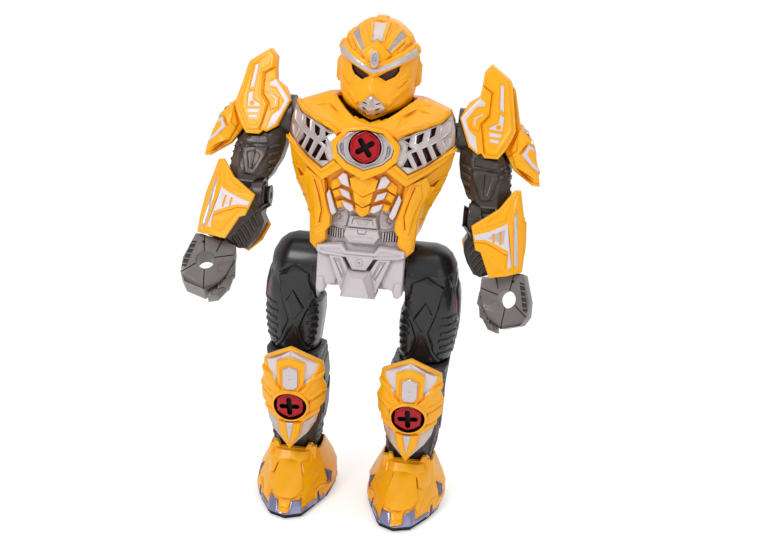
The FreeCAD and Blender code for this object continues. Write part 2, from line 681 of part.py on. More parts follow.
# face details, (x, z)
FOREHEAD_PLATE = [(0.7, 334.2), (-9.8, 326.0), (-4.5, 319.0), (0, 316.4), (4.5, 319.0),
                  (10.6, 324.4)]
EYE = [(3.9, 310.4), (10.5, 314.0), (16.9, 317.6), (15.2, 311.6), (8.2, 308.0)]
MOUTH = mirrored([(0, 298.2), (4.9, 294.8), (9.6, 289.6), (7.1, 286.3), (0, 282.8)])
JEWEL = mirrored([(0, 327.3), (1.9, 325.4), (2.8, 321.8), (2.3, 318.0), (0, 316.2)])
# visor sheet: polylines (x, y, z), top then bottom
VISOR_ROWS = [
    [(-18, -14.0, 319.5), (-9, -18.0, 319.5), (0, -19.0, 319.5), (9, -18.0, 319.5),
     (18, -14.0, 319.5)],
    [(-18, -14.0, 306.0), (-9, -18.0, 306.0), (0, -19.5, 306.0), (9, -18.0, 306.0),
     (18, -14.0, 306.0)],
]


def head_cavity():
    rows = inset_rows(HEAD_ROWS[1:-1], WALL, 0, HEAD_Y)
    bottom_z = HEAD_ROWS[1][0] + 0.5
    return loft_z([(bottom_z, rows[0][1])] + rows[1:-1] + [(347.4, rows[-1][1])])


def ear():
    return loft([[(25.0, 2, 303.2), (25.0, 14, 303.2), (25.0, 17, 312),
                  (25.0, 14, 322), (25.0, 2, 322), (25.0, -1, 312)],
                 [(30.0, 4, 306.0), (30.0, 11, 306.0), (30.0, 13, 312),
                  (30.0, 11, 319.5), (30.0, 4, 319.5), (30.0, 1.5, 312)]])


def brow():
    return loft([[(x0, y0, z1), (x0, y0, z0), (x1, y1, z0), (x1, y1, z1)]
                 for x0, y0, x1, y1, z0, z1 in BROW])


def mouth_plate():
    return loft([at_y(MOUTH, -24.5), at_y(scaled(MOUTH, (0, 290.5), 0.9, 0.9), -29.6)])


def forehead_jewel():
    return loft([at_y(JEWEL, -25.2), at_y(scaled(JEWEL, (0, 321.8), 0.6, 0.75), -27.6)])


def neck_post():
    return fuse(neck_rod(NECK_R, 266.0, 292.0), neck_rod(NECK_R + 3.5, 264.0, 266.0),
                neck_rod(11.0, 289.0, 292.0))


def build_head():
    outer = loft_z(HEAD_ROWS)
    cavity = head_cavity()
    mouth = mouth_plate()
    jewel = forehead_jewel()
    ears = both(ear())
    neck_bore = neck_rod(NECK_R, 262.0, 302.0)
    face = fuse(outer, ears, prism(FOREHEAD_PLATE, -26.0, -14.0), both(brow()))
    face = cut(face, cavity, behind(HEAD_SPLIT_Y), both(prism(EYE, -60, 0)), mouth, jewel,
               neck_bore)
    helmet = cut(fuse(outer, ears, loft_z(CREST_ROWS)), cavity, ahead(HEAD_SPLIT_Y), neck_bore)
    add_part("face_mask", face)
    add_part("helmet_back", helmet)
    add_part("eye_visor", cut(sheet(*grid(VISOR_ROWS), (0, 1.5, 0)), face, helmet))
    add_part("mouth_plate", cut(mouth, PARTS["face_mask"]))
    add_part("forehead_jewel", cut(jewel, PARTS["face_mask"]))
    add_part("neck_post", cut(neck_post(), PARTS["face_mask"], PARTS["helmet_back"]))


# ------------------------------------------------------------------ shoulder pad and wing
# The arms are drawn for the +X side, before their swing is applied.
PAD_LEAN = 0.342         # forward lean of pad and wing per mm below z = 320
PAD_Y, WING_Y = 4.5, 9.0                        # y of their front planes at z = 320
PAD_INWARD = Vector(0, 1.0, -PAD_LEAN).normalize()
PAD = [
    (77.5, 322.6), (84.4, 317.8), (91.0, 313.0), (92.3, 310.5), (97.4, 281.4), (95.2, 275.5),
    (91.5, 268.6), (87.2, 262.8), (78.0, 262.8), (75.4, 265.6), (73.0, 264.6), (66.4, 269.2),
    (58.4, 287.0), (64.0, 296.4), (70.9, 301.0), (72.2, 309.5), (72.7, 317.4)]
PAD_RIDGE = [
    (77.6, 320.0), (83.6, 315.4), (89.6, 310.8), (94.8, 281.2), (92.6, 276.0), (86.2, 265.2),
    (78.6, 265.2), (76.6, 270.0), (75.0, 283.6), (79.8, 289.0), (80.4, 304.4), (73.8, 307.6),
    (73.6, 317.0)]
WING = [
    (86, 311), (93.6, 309.0), (95.0, 306.5), (100.0, 283.0), (104.0, 280.6), (106.5, 276.8),
    (109.4, 272.0), (111.8, 266.0), (113.2, 259.5), (116.4, 253.6), (115.8, 251.6),
    (116.8, 247.8), (103.8, 247.8), (92.2, 261.5), (88, 268)]
WING_CENTRE = (101.0, 270.0)
WING_PILLARS = ((102.6, 280.6), (106.4, 276.9), (109.8, 271.4))
WING_TAB = [(82, 276), (93, 276), (93, 286), (82, 286)]
HOLLOW_SCALE = 0.86      # hollow outline over outer outline
PEG_X, PEG_Z, PEG_R = 79.0, 282.0, 3.0


def leaning_point(x, z, y_at_320, offset=0.0):
    return Vector(x, y_at_320 - PAD_LEAN * (320.0 - z), z) + PAD_INWARD * offset


def leaning_prism(outline, y_at_320, thickness, offset=0.0):
    """Extrude an (x, z) outline inward from the leaning plane, starting offset behind it."""
    face = polygon_face([leaning_point(x, z, y_at_320, offset) for x, z in outline])
    return face.extrude(PAD_INWARD * thickness)


def pad_peg(length):
    start = leaning_point(PEG_X, PEG_Z, PAD_Y, 2.0)
    return Part.makeCylinder(PEG_R, length, start, PAD_INWARD)


def shoulder_pad():
    centre = (sum(x for x, z in PAD) / len(PAD), sum(z for x, z in PAD) / len(PAD))
    hollow = leaning_prism(scaled(PAD, centre, HOLLOW_SCALE, HOLLOW_SCALE), PAD_Y, 20, 2.4)
    pad = fuse(leaning_prism(PAD, PAD_Y, 9.0), leaning_prism(PAD_RIDGE, PAD_Y, -1.2))
    return fuse(cut(pad, hollow), pad_peg(9.0))


def shoulder_wing():
    hollow_outline = scaled(WING, WING_CENTRE, HOLLOW_SCALE, HOLLOW_SCALE)
    wing = cut(leaning_prism(WING, WING_Y, 15.0),
               leaning_prism(hollow_outline, WING_Y, 30.0, 2.2))
    pillars = [Part.makeCylinder(2.2, 11.0, leaning_point(x, z, WING_Y, 2.0), PAD_INWARD)
               for x, z in WING_PILLARS]
    wing = fuse(wing, pillars, leaning_prism(WING_TAB, WING_Y, 2.6))
    return cut(wing, leaning_prism(PAD, PAD_Y, 9.0))


# ------------------------------------------------------------------ upper arm
# z, centre x, centre y, half size x, half size y
UPPER_ARM = [
    (231.0, 84.0, -10.0, 12.5, 12.5), (236.0, 82.5, -8.0, 15.0, 14.0),
    (240.0, 81.5, -6.4, 15.5, 14.6), (247.0, 79.6, -3.6, 17.0, 15.0),
    (256.0, 78.4, 0.2, 17.6, 15.0), (264.0, 77.4, 3.4, 16.8, 14.8),
    (276.0, 76.0, 8.0, 17.0, 14.6)]
UPPER_ARM_CAVITY = [
    (238.0, 81.8, -7.2, 12.6, 11.6), (247.0, 79.6, -3.6, 14.4, 12.6),
    (256.0, 78.4, 0.2, 15.2, 12.6), (264.0, 77.4, 3.4, 14.6, 12.4),
    (276.0, 76.0, 8.0, 14.0, 12.0)]
ELBOW_BAND = [(225.0, 84.0, -12.2, 12.0, 11.5), (231.2, 84.0, -10.0, 12.6, 12.5)]
DRUM_X0, DRUM_X1 = 57.8, 92.0
TONGUE_X0, TONGUE_X1, TONGUE_R = 79.2, 88.8, 7.5


def elbow_clearance():
    return elbow_rod(ELBOW_R + 0.5, 60, 110)


def upper_arm():
    """Hollow arm with the shoulder drum above and a hinge tongue at the elbow."""
    arm = fuse(section_loft(octagon, UPPER_ARM), shoulder_rod(SHOULDER_R, DRUM_X0, DRUM_X1),
               section_loft(octagon, ELBOW_BAND))
    tongue = fuse(box(TONGUE_X0, TONGUE_X1, ELBOW.y - TONGUE_R, ELBOW.y + TONGUE_R,
                      ELBOW.z, 233.0),
                  elbow_rod(TONGUE_R, TONGUE_X0, TONGUE_X1))
    arm = fuse(cut(arm, elbow_clearance()), tongue)
    return cut(arm, section_loft(octagon, UPPER_ARM_CAVITY),
               shoulder_rod(SHOULDER_R - WALL, 60.4, 89.6),
               elbow_rod(ELBOW_PIN_R + AXLE_GAP, 60, 110), pad_peg(14.0))


def upper_arm_front_half():
    """Region in front of the parting surface, which leans from shoulder to elbow."""
    profile = [(SHOULDER_Y, 330), (SHOULDER_Y, SHOULDER_Z), (ELBOW.y, ELBOW.z),
               (ELBOW.y, 150), (-200, 150), (-200, 330)]
    return polygon_face([Vector(30, y, z) for y, z in profile]).extrude(Vector(120, 0, 0))


# ------------------------------------------------------------------ forearm
# Forearm frame: along from elbow to wrist, out to +X, ahead towards the front.
ALONG = (WRIST - ELBOW).normalize()
AHEAD = (Vector(0, -1, 0) - ALONG * Vector(0, -1, 0).dot(ALONG)).normalize()
OUT = AHEAD.cross(ALONG)
if OUT.x <= 0:
    OUT = OUT * -1
# distance along, out from/to, ahead from/to
FOREARM = [
    (3.0, -12.5, 12.0, -12, 12), (12.0, -14.0, 13.0, -13, 13.5), (22.0, -12.0, 12.5, -12.5, 13),
    (32.0, -9.5, 11.0, -11, 12), (38.2, -8.5, 10.0, -9.5, 10)]
FOREARM_CAVITY = [
    (14.5, -11.0, 10.5, -10.5, 11), (22.0, -9.5, 10.0, -10, 10.5),
    (31.0, -7.5, 8.6, -8.6, 9.4), (35.8, -6.4, 7.8, -7.4, 7.8)]
SLOT_X0, SLOT_X1 = 79.0, 89.0                   # elbow slot around the tongue
# forearm guard: (x, z) of its rim, then of three inner vertices
GUARD_POINTS = [
    (100.2, 243.6), (91.0, 232.0), (73.9, 221.1), (77.8, 207.2), (81.4, 206.0), (88.8, 191.0),
    (100.4, 192.6), (110.2, 193.0), (110.8, 204.0), (109.8, 220.0), (107.0, 232.0),
    (104.6, 243.0), (97.8, 223.8), (100.5, 207.0), (84.0, 213.6)]
GUARD_POLYGONS = [
    [0, 1, 12], [1, 2, 14, 12], [2, 3, 14], [3, 4, 14], [4, 5, 13, 14], [5, 6, 13],
    [12, 14, 13], [6, 7, 8, 13], [8, 9, 12, 13], [9, 10, 12], [10, 11, 0, 12]]
GUARD_OUTER_RIM = GUARD_POINTS[7:12]
# rear edge of the guard's side wall, one row per outer rim point: x, y behind it, z
GUARD_SIDE_EDGE = [
    (109.4, 9.0, 193.6), (110.2, 11.5, 204.5), (109.2, 12.0, 220.5), (106.0, 10.0, 232.0),
    (103.6, 6.0, 242.0)]


def forearm_point(along, out, ahead_by):
    return ELBOW + ALONG * along + OUT * out + AHEAD * ahead_by


def forearm_section(along, out0, out1, ahead0, ahead1):
    outline = octagon((out0 + out1) / 2, (ahead0 + ahead1) / 2,
                      (out1 - out0) / 2, (ahead1 - ahead0) / 2, 0.5)
    return [forearm_point(along, a, b) for a, b in outline]


def forearm_block(along0, along1, outline):
    """Straight block along the forearm, outline in (out, ahead)."""
    return loft([[forearm_point(along, a, b) for a, b in outline] for along in (along0, along1)])


def wrist_rod(radius, along, length):
    return Part.makeCylinder(radius, length, forearm_point(along, 0.8, 0.3), ALONG)


def forearm():
    body = loft([forearm_section(*row) for row in FOREARM])
    boss = Part.makeCone(4.5, 7.4, 5.5, Vector(72.5, ELBOW.y, ELBOW.z), Vector(-1, 0, 0))
    body = fuse(body, elbow_rod(ELBOW_R, 71.5, 95.0), boss)
    slot = elbow_rod(30.0, SLOT_X0, SLOT_X1).common(
        box(SLOT_X0, SLOT_X1, -60, 40, 212.5, 260))
    slot = fuse(slot, elbow_rod(8.0, SLOT_X0, SLOT_X1))
    # whatever would meet the upper arm above the elbow
    above_elbow = cut(box(60, 115, -40, 30, ELBOW.z, 270), elbow_clearance())
    return cut(body, above_elbow, slot, elbow_rod(ELBOW_PIN_R, 60, 110),
               loft([forearm_section(*row) for row in FOREARM_CAVITY]),
               wrist_rod(WRIST_PIN_R + AXLE_GAP, 30.0, 14))


def guard_y(x, z):
    """Front surface of the forearm guard: a plane, folded back beyond x = 100.5."""
    y = 0.0968 * x + 0.5306 * z - 159.67
    if x > 100.5:
        y += 0.75 * (x - 100.5)
    return y


def forearm_guard():
    vertices = [(x, guard_y(x, z), z) for x, z in GUARD_POINTS]
    rim = [(x, guard_y(x, z), z) for x, z in GUARD_OUTER_RIM]
    rear_edge = [(x, y + dy, z) for (_, y, _), (x, dy, z) in zip(rim, GUARD_SIDE_EDGE)]
    lug = forearm_block(20.0, 25.0, ((-4, 8), (6, 8), (6, 18), (-4, 18)))
    guard = fuse(sheet(vertices, GUARD_POLYGONS, (0, 2.0, 0)),
                 sheet(*grid([rim, rear_edge]), (-2.0, 0, 0)),
                 lug.common(box(60, 120, -80, 30, 180, 250)))
    # trims whatever stands in front of the guard surface
    in_front = sheet([(x, y - 12.0, z) for x, y, z in vertices], GUARD_POLYGONS, (0, 12.0, 0))
    return cut(guard, in_front)


# ------------------------------------------------------------------ hand
# fist outline (out, along) about the grip bore
FIST = [
    (-12.0, -13.5), (6.5, -16.5), (13.5, -14.0), (16.0, 1.0), (14.5, 9.5), (9.5, 16.5),
    (-2.0, 20.5), (-10.0, 16.5), (-14.5, 9.0), (-17.5, 0.0), (-17.0, -8.5)]
FIST_STATIONS = ((0.86, 0.0), (1.0, -5.0), (1.0, -19.0), (0.88, -25.0))     # scale, ahead


def grip_bore(radius):
    return Part.makeCylinder(radius, 60, HAND_CENTRE + AHEAD * 10, AHEAD * -1)


def hand():
    """Fist with a grip bore, a wrist flange and the wrist pin."""
    fist = loft([[HAND_CENTRE + OUT * (out * scale) + ALONG * (along * scale) + AHEAD * ahead_by
                  for out, along in FIST] for scale, ahead_by in FIST_STATIONS])
    fist = fuse(cut(fist, grip_bore(GRIP_R)), wrist_rod(8.0, 39.0, 3.0))
    beyond_forearm = cut(fist, Part.makeCylinder(40, 38.6, ELBOW, ALONG))
    return cut(fuse(beyond_forearm, wrist_rod(WRIST_PIN_R, 33.0, 9.5)),
               grip_bore(GRIP_R + 0.001))


# ------------------------------------------------------------------ arm assembly
def arm_pieces():
    """Pieces of the +X arm by name: those above the elbow, and those that swing with it."""
    pad = shoulder_pad()
    wing = shoulder_wing()
    arm = upper_arm()
    arm_half = upper_arm_front_half()
    fore = forearm()
    fore_half = forearm_block(-40, 80, ((-60, 0), (60, 0), (60, 80), (-60, 80)))
    guard = forearm_guard()
    above_elbow = {
        "shoulder_pad": pad,
        "shoulder_wing": wing,
        "upper_arm_front": cut(arm.common(arm_half), pad, wing),
        "upper_arm_back": cut(arm, arm_half, pad, wing),
    }
    from_elbow = {
        "elbow_pin": elbow_rod(ELBOW_PIN_R, 71.0, 95.0),
        "forearm_front": cut(fore.common(fore_half), guard),
        "forearm_back": cut(fore, fore_half, guard),
        "forearm_guard": guard,
        "hand": hand(),
    }
    return above_elbow, from_elbow


def build_arms():
    above_elbow, from_elbow = arm_pieces()
    for side, sign in SIDES:
        for name, shape in {**above_elbow, **from_elbow}.items():
            piece = shape if sign > 0 else mirror(shape)
            if name in from_elbow:
                piece = rotated(piece, sign * FOREARM_SWING, ELBOW.y, ELBOW.z)
            piece = rotated(piece, sign * ARM_SWING, SHOULDER_Y, SHOULDER_Z)
            add_part(name + "_" + side, piece)
        # short flanged axle on the drum, running in the chest side wall
        axle = fuse(shoulder_rod(SHOULDER_AXLE_R, 50.0, 60.0),
                    shoulder_rod(SHOULDER_FLANGE_R, 50.0, 52.0))
        if sign < 0:
            axle = mirror(axle)
        front_name = "upper_arm_front_" + side
        axle = cut(axle, PARTS["upper_arm_back_" + side])
        PARTS[front_name] = biggest(fuse(PARTS[front_name], axle))


# ------------------------------------------------------------------ thigh
# The legs are drawn for the +X side.
# z, x inner, x outer, y front, y back
THIGH = [
    (108.0, 31.5, 61.2, -18.0, 15.6), (115.0, 29.8, 65.6, -20.5, 18.5),
    (127.0, 28.8, 67.6, -21.5, 20.0), (138.0, 28.0, 69.0, -22.0, 21.0),
    (148.0, 28.6, 69.2, -22.3, 21.5), (152.0, THIGH_INNER_X, 69.0, -22.5, 21.8),
    (160.0, THIGH_INNER_X, 68.6, -22.6, 22.0), (172.0, THIGH_INNER_X, 66.2, -22.6, 22.0)]
THIGH_CAVITY = [
    (111.5, 34.5, 60.0, -15.4, 13.0), (127.0, 32.0, 65.0, -18.5, 17.0),
    (138.0, 31.4, 66.4, -19.0, 18.0), (152.0, 34.4, 66.4, -19.6, 18.8),
    (168.0, 34.4, 63.8, -19.6, 18.8)]
# lower thigh, a little oversize, cut out of the shin
THIGH_ENVELOPE = [
    (106.5, 31.2, 61.4, -18.2, 15.8), (115.0, 29.5, 65.9, -20.8, 18.8),
    (127.0, 28.5, 67.9, -21.8, 20.3)]
# rounded hip: x, radius
HIP_DOME = ((THIGH_INNER_X, HIP_R), (50.0, HIP_R), (56.5, 22.0), (61.5, 18.0), (65.5, 11.0))


def thigh_section(x0, x1, y0, y1):
    width = x1 - x0
    return [(x0 + 0.22 * width, y0), (x0 + 0.62 * width, y0), (x0 + 0.88 * width, y0 + 6.5),
            (x1, y0 + 17), (x1, y1 - 10), (x0 + 0.8 * width, y1), (x0 + 0.2 * width, y1),
            (x0, y1 - 8), (x0, y0 + 14), (x0 + 0.06 * width, y0 + 6)]


def hip_dome():
    angles = [math.radians(degrees) for degrees in range(0, 360, 15)]
    return loft([[(x, radius * math.cos(angle), HIP_Z + radius * math.sin(angle))
                  for angle in angles] for x, radius in HIP_DOME])


def thigh():
    body = fuse(section_loft(thigh_section, THIGH), hip_dome())
    body = cut(body, hip_rod(23.0, 20, THIGH_INNER_X),
               section_loft(thigh_section, THIGH_CAVITY), hip_rod(21.4, 34.2, 54.0))
    return cut(fuse(body, hip_rod(7.0, 33.5, 57.0)), hip_rod(HIP_AXLE_R + AXLE_GAP, 20, 58.6))


# ------------------------------------------------------------------ shin
# z, x inner, x outer, y front, y back
SHIN = [
    (24.0, 27.5, 57.0, -12.6, 13.8), (36.0, 26.0, 58.8, -15.0, 14.0),
    (54.0, 24.5, 60.8, -18.5, 15.0), (60.0, 23.0, 62.4, -21.5, 16.0),
    (83.0, 22.8, 62.8, -27.0, 17.0), (97.0, 24.0, 62.8, -31.0, 18.0),
    (107.5, 25.5, 64.4, -31.0, 19.6), (112.5, 26.2, 66.4, -27.5, 20.8)]
SHIN_CAVITY = [
    (27.0, 30.5, 54.0, -11.0, 12.0), (54.0, 27.5, 57.8, -16.0, 12.5),
    (83.0, 25.6, 60.0, -24.5, 14.5), (103.5, 28.0, 60.8, -28.0, 15.5)]
# shin guard columns: x from the leg centre, z top, z bottom
GUARD_COLUMNS = [
    (-20.8, 111.6, 72.0), (-17.0, 114.4, 60.0), (-12.0, 118.0, 51.5), (-6.0, 121.8, 47.0),
    (0.0, 124.6, 43.8),
    (6.0, 121.8, 47.0), (12.0, 118.0, 51.5), (17.0, 114.4, 60.0), (20.8, 111.6, 72.0)]
GUARD_STEPS = 5          # facets over the height of the shin guard
# raised slanting plates on each side of the guard:
# outer edge z top and bottom, inner edge z bottom and top before their drops, stand-off
GUARD_PLATES = ((104.6, 95.0, 88.5, 98.0, 1.6), (90.6, 81.0, 70.0, 79.0, 1.4))
PLATE_OUTER, PLATE_INNER = 20.9, 11.0           # x from the leg centre


def shin_section(x0, x1, y0, y1):
    width = x1 - x0
    return [(x0 + 0.25 * width, y0), (x0 + 0.75 * width, y0), (x1 - 1.5, y0 + 7),
            (x1, y0 + 14), (x1, y1 - 8), (x0 + 0.78 * width, y1), (x0 + 0.22 * width, y1),
            (x0, y1 - 8), (x0, y0 + 14), (x0 + 1.5, y0 + 7)]


def shin_guard_centre_y(z):
    return -32.8 - (z - 44.0) * GUARD_SLOPE


def shin_guard_y(from_centre, z):
    """Guard surface, curving back towards its sides."""
    flatness = math.sqrt(max(0.02, 1 - (from_centre / 21.6) ** 2))
    return shin_guard_centre_y(z) + 20.0 * (1 - flatness)


SHIN_BOLT = Vector(LEG_X, shin_guard_centre_y(SHIN_BOLT_Z), SHIN_BOLT_Z)
SHIN_BOLT_AXIS = Vector(0, 1.0, GUARD_SLOPE).normalize()     # inward


def shin_bolt_rod(radius, start, length):
    return Part.makeCylinder(radius, length, SHIN_BOLT + SHIN_BOLT_AXIS * start, SHIN_BOLT_AXIS)


def guard_plates():
    plates = []
    for sign in (1, -1):
        outer_x, inner_x = LEG_X + sign * PLATE_OUTER, LEG_X + sign * PLATE_INNER
        for outer_top, outer_low, inner_low, inner_top, proud in GUARD_PLATES:
            corners = [
                (outer_x, shin_guard_y(PLATE_OUTER, outer_top) - proud, outer_top),
                (inner_x, shin_guard_y(PLATE_INNER, inner_top) - proud, inner_top - 6),
                (inner_x, shin_guard_y(PLATE_INNER, inner_low) - proud, inner_low - 4),
                (outer_x, shin_guard_y(PLATE_OUTER, outer_low) - proud, outer_low)]
            plates.append(sheet(corners, [[0, 1, 2, 3]], (0, 2.6, 0)))
    return plates


def shin_guard_plate(recess, bore):
    """Curved guard with a ring around the bolt recess."""
    rows = []
    for k in range(GUARD_STEPS + 1):
        row = []
        for dx, top, bottom in GUARD_COLUMNS:
            z = top + (bottom - top) * (k / GUARD_STEPS)
            row.append((LEG_X + dx, shin_guard_y(dx, z), z))
        rows.append(row)
    guard = fuse(sheet(*grid(rows), (0, 2.4, 0)), shin_bolt_rod(12.3, -1.8, 8.0), guard_plates())
    return cut(guard, recess, bore)


def shin_and_guard():
    """Front and back shin shells, and the guard with the posts that reach the shin."""
    cavity = section_loft(shin_section, SHIN_CAVITY)
    shin = cut(section_loft(shin_section, SHIN), section_loft(thigh_section, THIGH_ENVELOPE),
               cavity)
    recess = shin_bolt_rod(CUP_R, -3.0, 5.6)
    bore = shin_bolt_rod(BOLT_BORE_R, -10, 60)
    guard = shin_guard_plate(recess, bore)
    front = cut(shin.common(ahead(0)), guard, bore)
    supports = []
    for dz in (18.0, -22.0):
        z = SHIN_BOLT_Z + dz
        y = shin_guard_centre_y(z) + 2.0
        supports.append(rod_y(2.6, y, y + 30.0, LEG_X, z))
    supports.append(shin_bolt_rod(7.5, 2.2, 11.5))
    supports = [cut(support, front, shin, cavity) for support in supports]
    guard = cut(fuse(guard, supports), bore, recess)
    return front, shin.common(behind(0)), guard


# ------------------------------------------------------------------ foot
# outlines (x, y) from the toe round the +X side, ground first
FOOT_GROUND = [
    (38.5, -57), (50, -52), (61, -31), (67, -14), (69, 10), (66, 27), (55, 36), (41, 38),
    (28, 36), (17, 27), (14, 10), (15.5, -12), (21.5, -32), (28, -51)]
FOOT_RIM = [
    (38.5, -58.5), (50.5, -53), (61.5, -31), (67.5, -14), (70, 10), (67, 28), (55.5, 37),
    (41, 39), (27.5, 37), (16, 28), (13, 10), (15, -12), (21, -32), (27.5, -52)]
FOOT_LOW = [
    (38.5, -51), (46.5, -48), (57, -33), (66.5, -15), (70.5, 8), (67, 28), (55, 36), (41, 38),
    (27, 36), (15.5, 28), (12.5, 8), (16, -14), (25, -33), (31, -47)]
FOOT_MIDDLE = [
    (39.5, -36), (45, -35), (55, -27), (62.5, -13), (66, 8), (63, 24), (53, 31), (41, 33),
    (29, 31), (19, 24), (17, 8), (20.5, -12), (28, -27), (33.5, -35)]
FOOT_TOP = [
    (41, -19.5), (47, -19.5), (56, -18), (60.5, -10), (61, 4), (59, 15), (51, 20), (41, 21),
    (31, 20), (24, 15), (22.6, 4), (23, -10), (27, -18), (34, -19.5)]
SOLE_TOP_Z = 4.5
ROLLER_Z = 9.0
ROLLER_PIN_R = 1.5       # pin bore in the ears


def foot_shell(shin_halves):
    outer = loft_z([(SOLE_TOP_Z, FOOT_RIM), (14.0, FOOT_LOW), (24.0, FOOT_MIDDLE),
                    (36.5, FOOT_TOP)])
    cavity = loft_z([(0.0, inset(FOOT_RIM, 2.6, 41, -4)), (14.0, inset(FOOT_LOW, 2.8, 41, -4)),
                     (24.0, inset(FOOT_MIDDLE, 2.8, 41, -2)),
                     (40.0, inset(FOOT_TOP, 2.3, 41.4, 0))])
    blocks = [box(x0, x0 + 6.5, -19.4, -15.2, 30.0, 40.5) for x0 in (52.0, 25.0)]
    return cut(fuse(cut(outer, cavity), blocks), shin_halves)


def foot_sole():
    """Sole with a roller pocket and two ears for the roller pin."""
    sole = loft_z([(0.0, FOOT_GROUND), (2.0, FOOT_RIM), (SOLE_TOP_Z, FOOT_RIM)])
    sole = cut(sole, box(34.0, 50.0, -9.0, 9.0, -1.0, 6.0))
    bore = rod_x(ROLLER_PIN_R, 28, 56, 0, ROLLER_Z)
    ears = cut(fuse(box(30.6, 33.6, -6, 6, SOLE_TOP_Z, 13.0),
                    box(50.4, 53.4, -6, 6, SOLE_TOP_Z, 13.0)), bore)
    return cut(fuse(sole, ears), bore)


def foot_roller():
    return fuse(rod_x(8.8, 35.0, 49.0, 0, ROLLER_Z),
                rod_x(ROLLER_PIN_R - AXLE_GAP, 30.0, 54.0, 0, ROLLER_Z))


def build_legs():
    thigh_body = thigh()
    shin_front, shin_back, guard = shin_and_guard()
    leg = {
        "thigh_front": thigh_body.common(ahead(0)),
        "thigh_back": thigh_body.common(behind(0)),
        "shin_front": shin_front,
        "shin_back": shin_back,
        "shin_guard": guard,
        "shin_bolt": turn_bolt(SHIN_BOLT - SHIN_BOLT_AXIS * 1.3, SHIN_BOLT_AXIS, 14.0, 6.0),
        "foot_shell": foot_shell([shin_front, shin_back]),
        "foot_sole": foot_sole(),
        "foot_roller": foot_roller(),
    }
    for side, sign in SIDES:
        for name, shape in leg.items():
            add_part(name + "_" + side, shape if sign > 0 else mirror(shape))


# ------------------------------------------------------------------ build and export
def export_parts():
    os.makedirs("parts", exist_ok=True)
    for name in sorted(PARTS):
        shape = PARTS[name].copy()
        shape.translate(Vector(0, ORIGIN_DY, 0))
        shape.exportStep("parts/" + name + ".step")


build_torso()
build_torso_inside()
build_waist()
build_head()
build_arms()
bore_chest_shells()
build_legs()
export_parts()
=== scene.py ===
"""A toy robot figure with turned bolts, in yellow, silver and grey.

The figure faces -y, its left side is +x and it stands on z = 0. Outlines are drawn in
millimetres in a drawing frame, then placed in metres in the row frame of the CAD pieces.
The CAD pieces get bevels and finishes; raised plates are laid over them. A plate is an
outline seen along an axis, laid on a base surface, with steps in its height.

Outlines are text, "x z, x z, ...". In a plate seen from another side the two columns are
the across and up directions of that view (see AXES).
"""
import math
from collections import namedtuple
from functools import partial

import bmesh
import bpy
import numpy as np
from mathutils import Matrix, Vector
from mathutils.bvhtree import BVHTree
from mathutils.geometry import delaunay_2d_cdt

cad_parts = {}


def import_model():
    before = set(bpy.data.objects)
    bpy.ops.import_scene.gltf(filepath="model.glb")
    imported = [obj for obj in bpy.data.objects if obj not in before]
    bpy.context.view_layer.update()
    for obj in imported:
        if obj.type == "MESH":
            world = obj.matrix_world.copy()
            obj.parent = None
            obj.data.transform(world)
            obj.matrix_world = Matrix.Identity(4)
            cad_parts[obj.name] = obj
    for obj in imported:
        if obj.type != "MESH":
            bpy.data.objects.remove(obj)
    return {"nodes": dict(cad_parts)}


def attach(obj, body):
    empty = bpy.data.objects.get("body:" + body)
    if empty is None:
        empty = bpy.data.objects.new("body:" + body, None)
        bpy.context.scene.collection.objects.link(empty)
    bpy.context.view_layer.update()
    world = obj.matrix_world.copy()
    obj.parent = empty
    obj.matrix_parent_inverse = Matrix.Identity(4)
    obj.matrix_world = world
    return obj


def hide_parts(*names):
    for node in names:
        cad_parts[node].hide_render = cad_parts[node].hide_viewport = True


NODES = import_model()["nodes"]
scene = bpy.context.scene

# ------------------------------------------------------------------ driving sizes (mm, degrees)
DRAWING_SHIFT = 13.65            # the row frame lies this far along +y from the drawing
ARM_SWING, FOREARM_SWING = 5.16, 3.4
SHOULDER_Y, SHOULDER_Z = 8, 276
ELBOW = Vector((84, -14, 221))
WRIST = Vector((97, -31.5, 188))
FIST_CENTRE = Vector((101.8, -46, 175))
EMBLEM_Z = 265.4
LEG_X = 41.8
SHIN_BOLT_Z = 79.3
GUARD_Y, GUARD_Z, GUARD_SLOPE = -32.8, 44, 0.22      # shin guard: depth at its foot, and lean
PAD_Y, PAD_Z, PAD_SLOPE, PAD_THICK = 4.5, 320, 0.342, 8.7    # shoulder pad

SIDE_NAME = {1: "left", -1: "right"}
LEG, ARM, FOREARM, FIST = "%s_leg", "%s_arm", "%s_forearm", "%s_hand"

# ------------------------------------------------------------------ frames
BASE = Matrix.Scale(0.001, 4) @ Matrix.Translation((0, DRAWING_SHIFT, 0))
MIRROR = Matrix.Diagonal((-1, 1, 1, 1))


def swing(degrees, y, z):
    """Turn about a line along x."""
    turn = Matrix.Rotation(math.radians(degrees), 4, "X")
    return Matrix.Translation((0, y, z)) @ turn @ Matrix.Translation((0, -y, -z))


def placement(body, side=1):
    """Drawing frame -> row frame; the two arms swing opposite ways."""
    move = Matrix.Identity(4) if side > 0 else MIRROR
    if body in (FOREARM, FIST):
        move = swing(FOREARM_SWING * side, ELBOW.y, ELBOW.z) @ move
    if body in (ARM, FOREARM, FIST):
        move = swing(ARM_SWING * side, SHOULDER_Y, SHOULDER_Z) @ move
    return BASE @ move


def view(across, depth, up, origin=(0, 0, 0)):
    """Frame of a plate: where its across, depth and up directions point."""
    matrix = Matrix((across, depth, up)).transposed().to_4x4()
    matrix.translation = origin
    return matrix


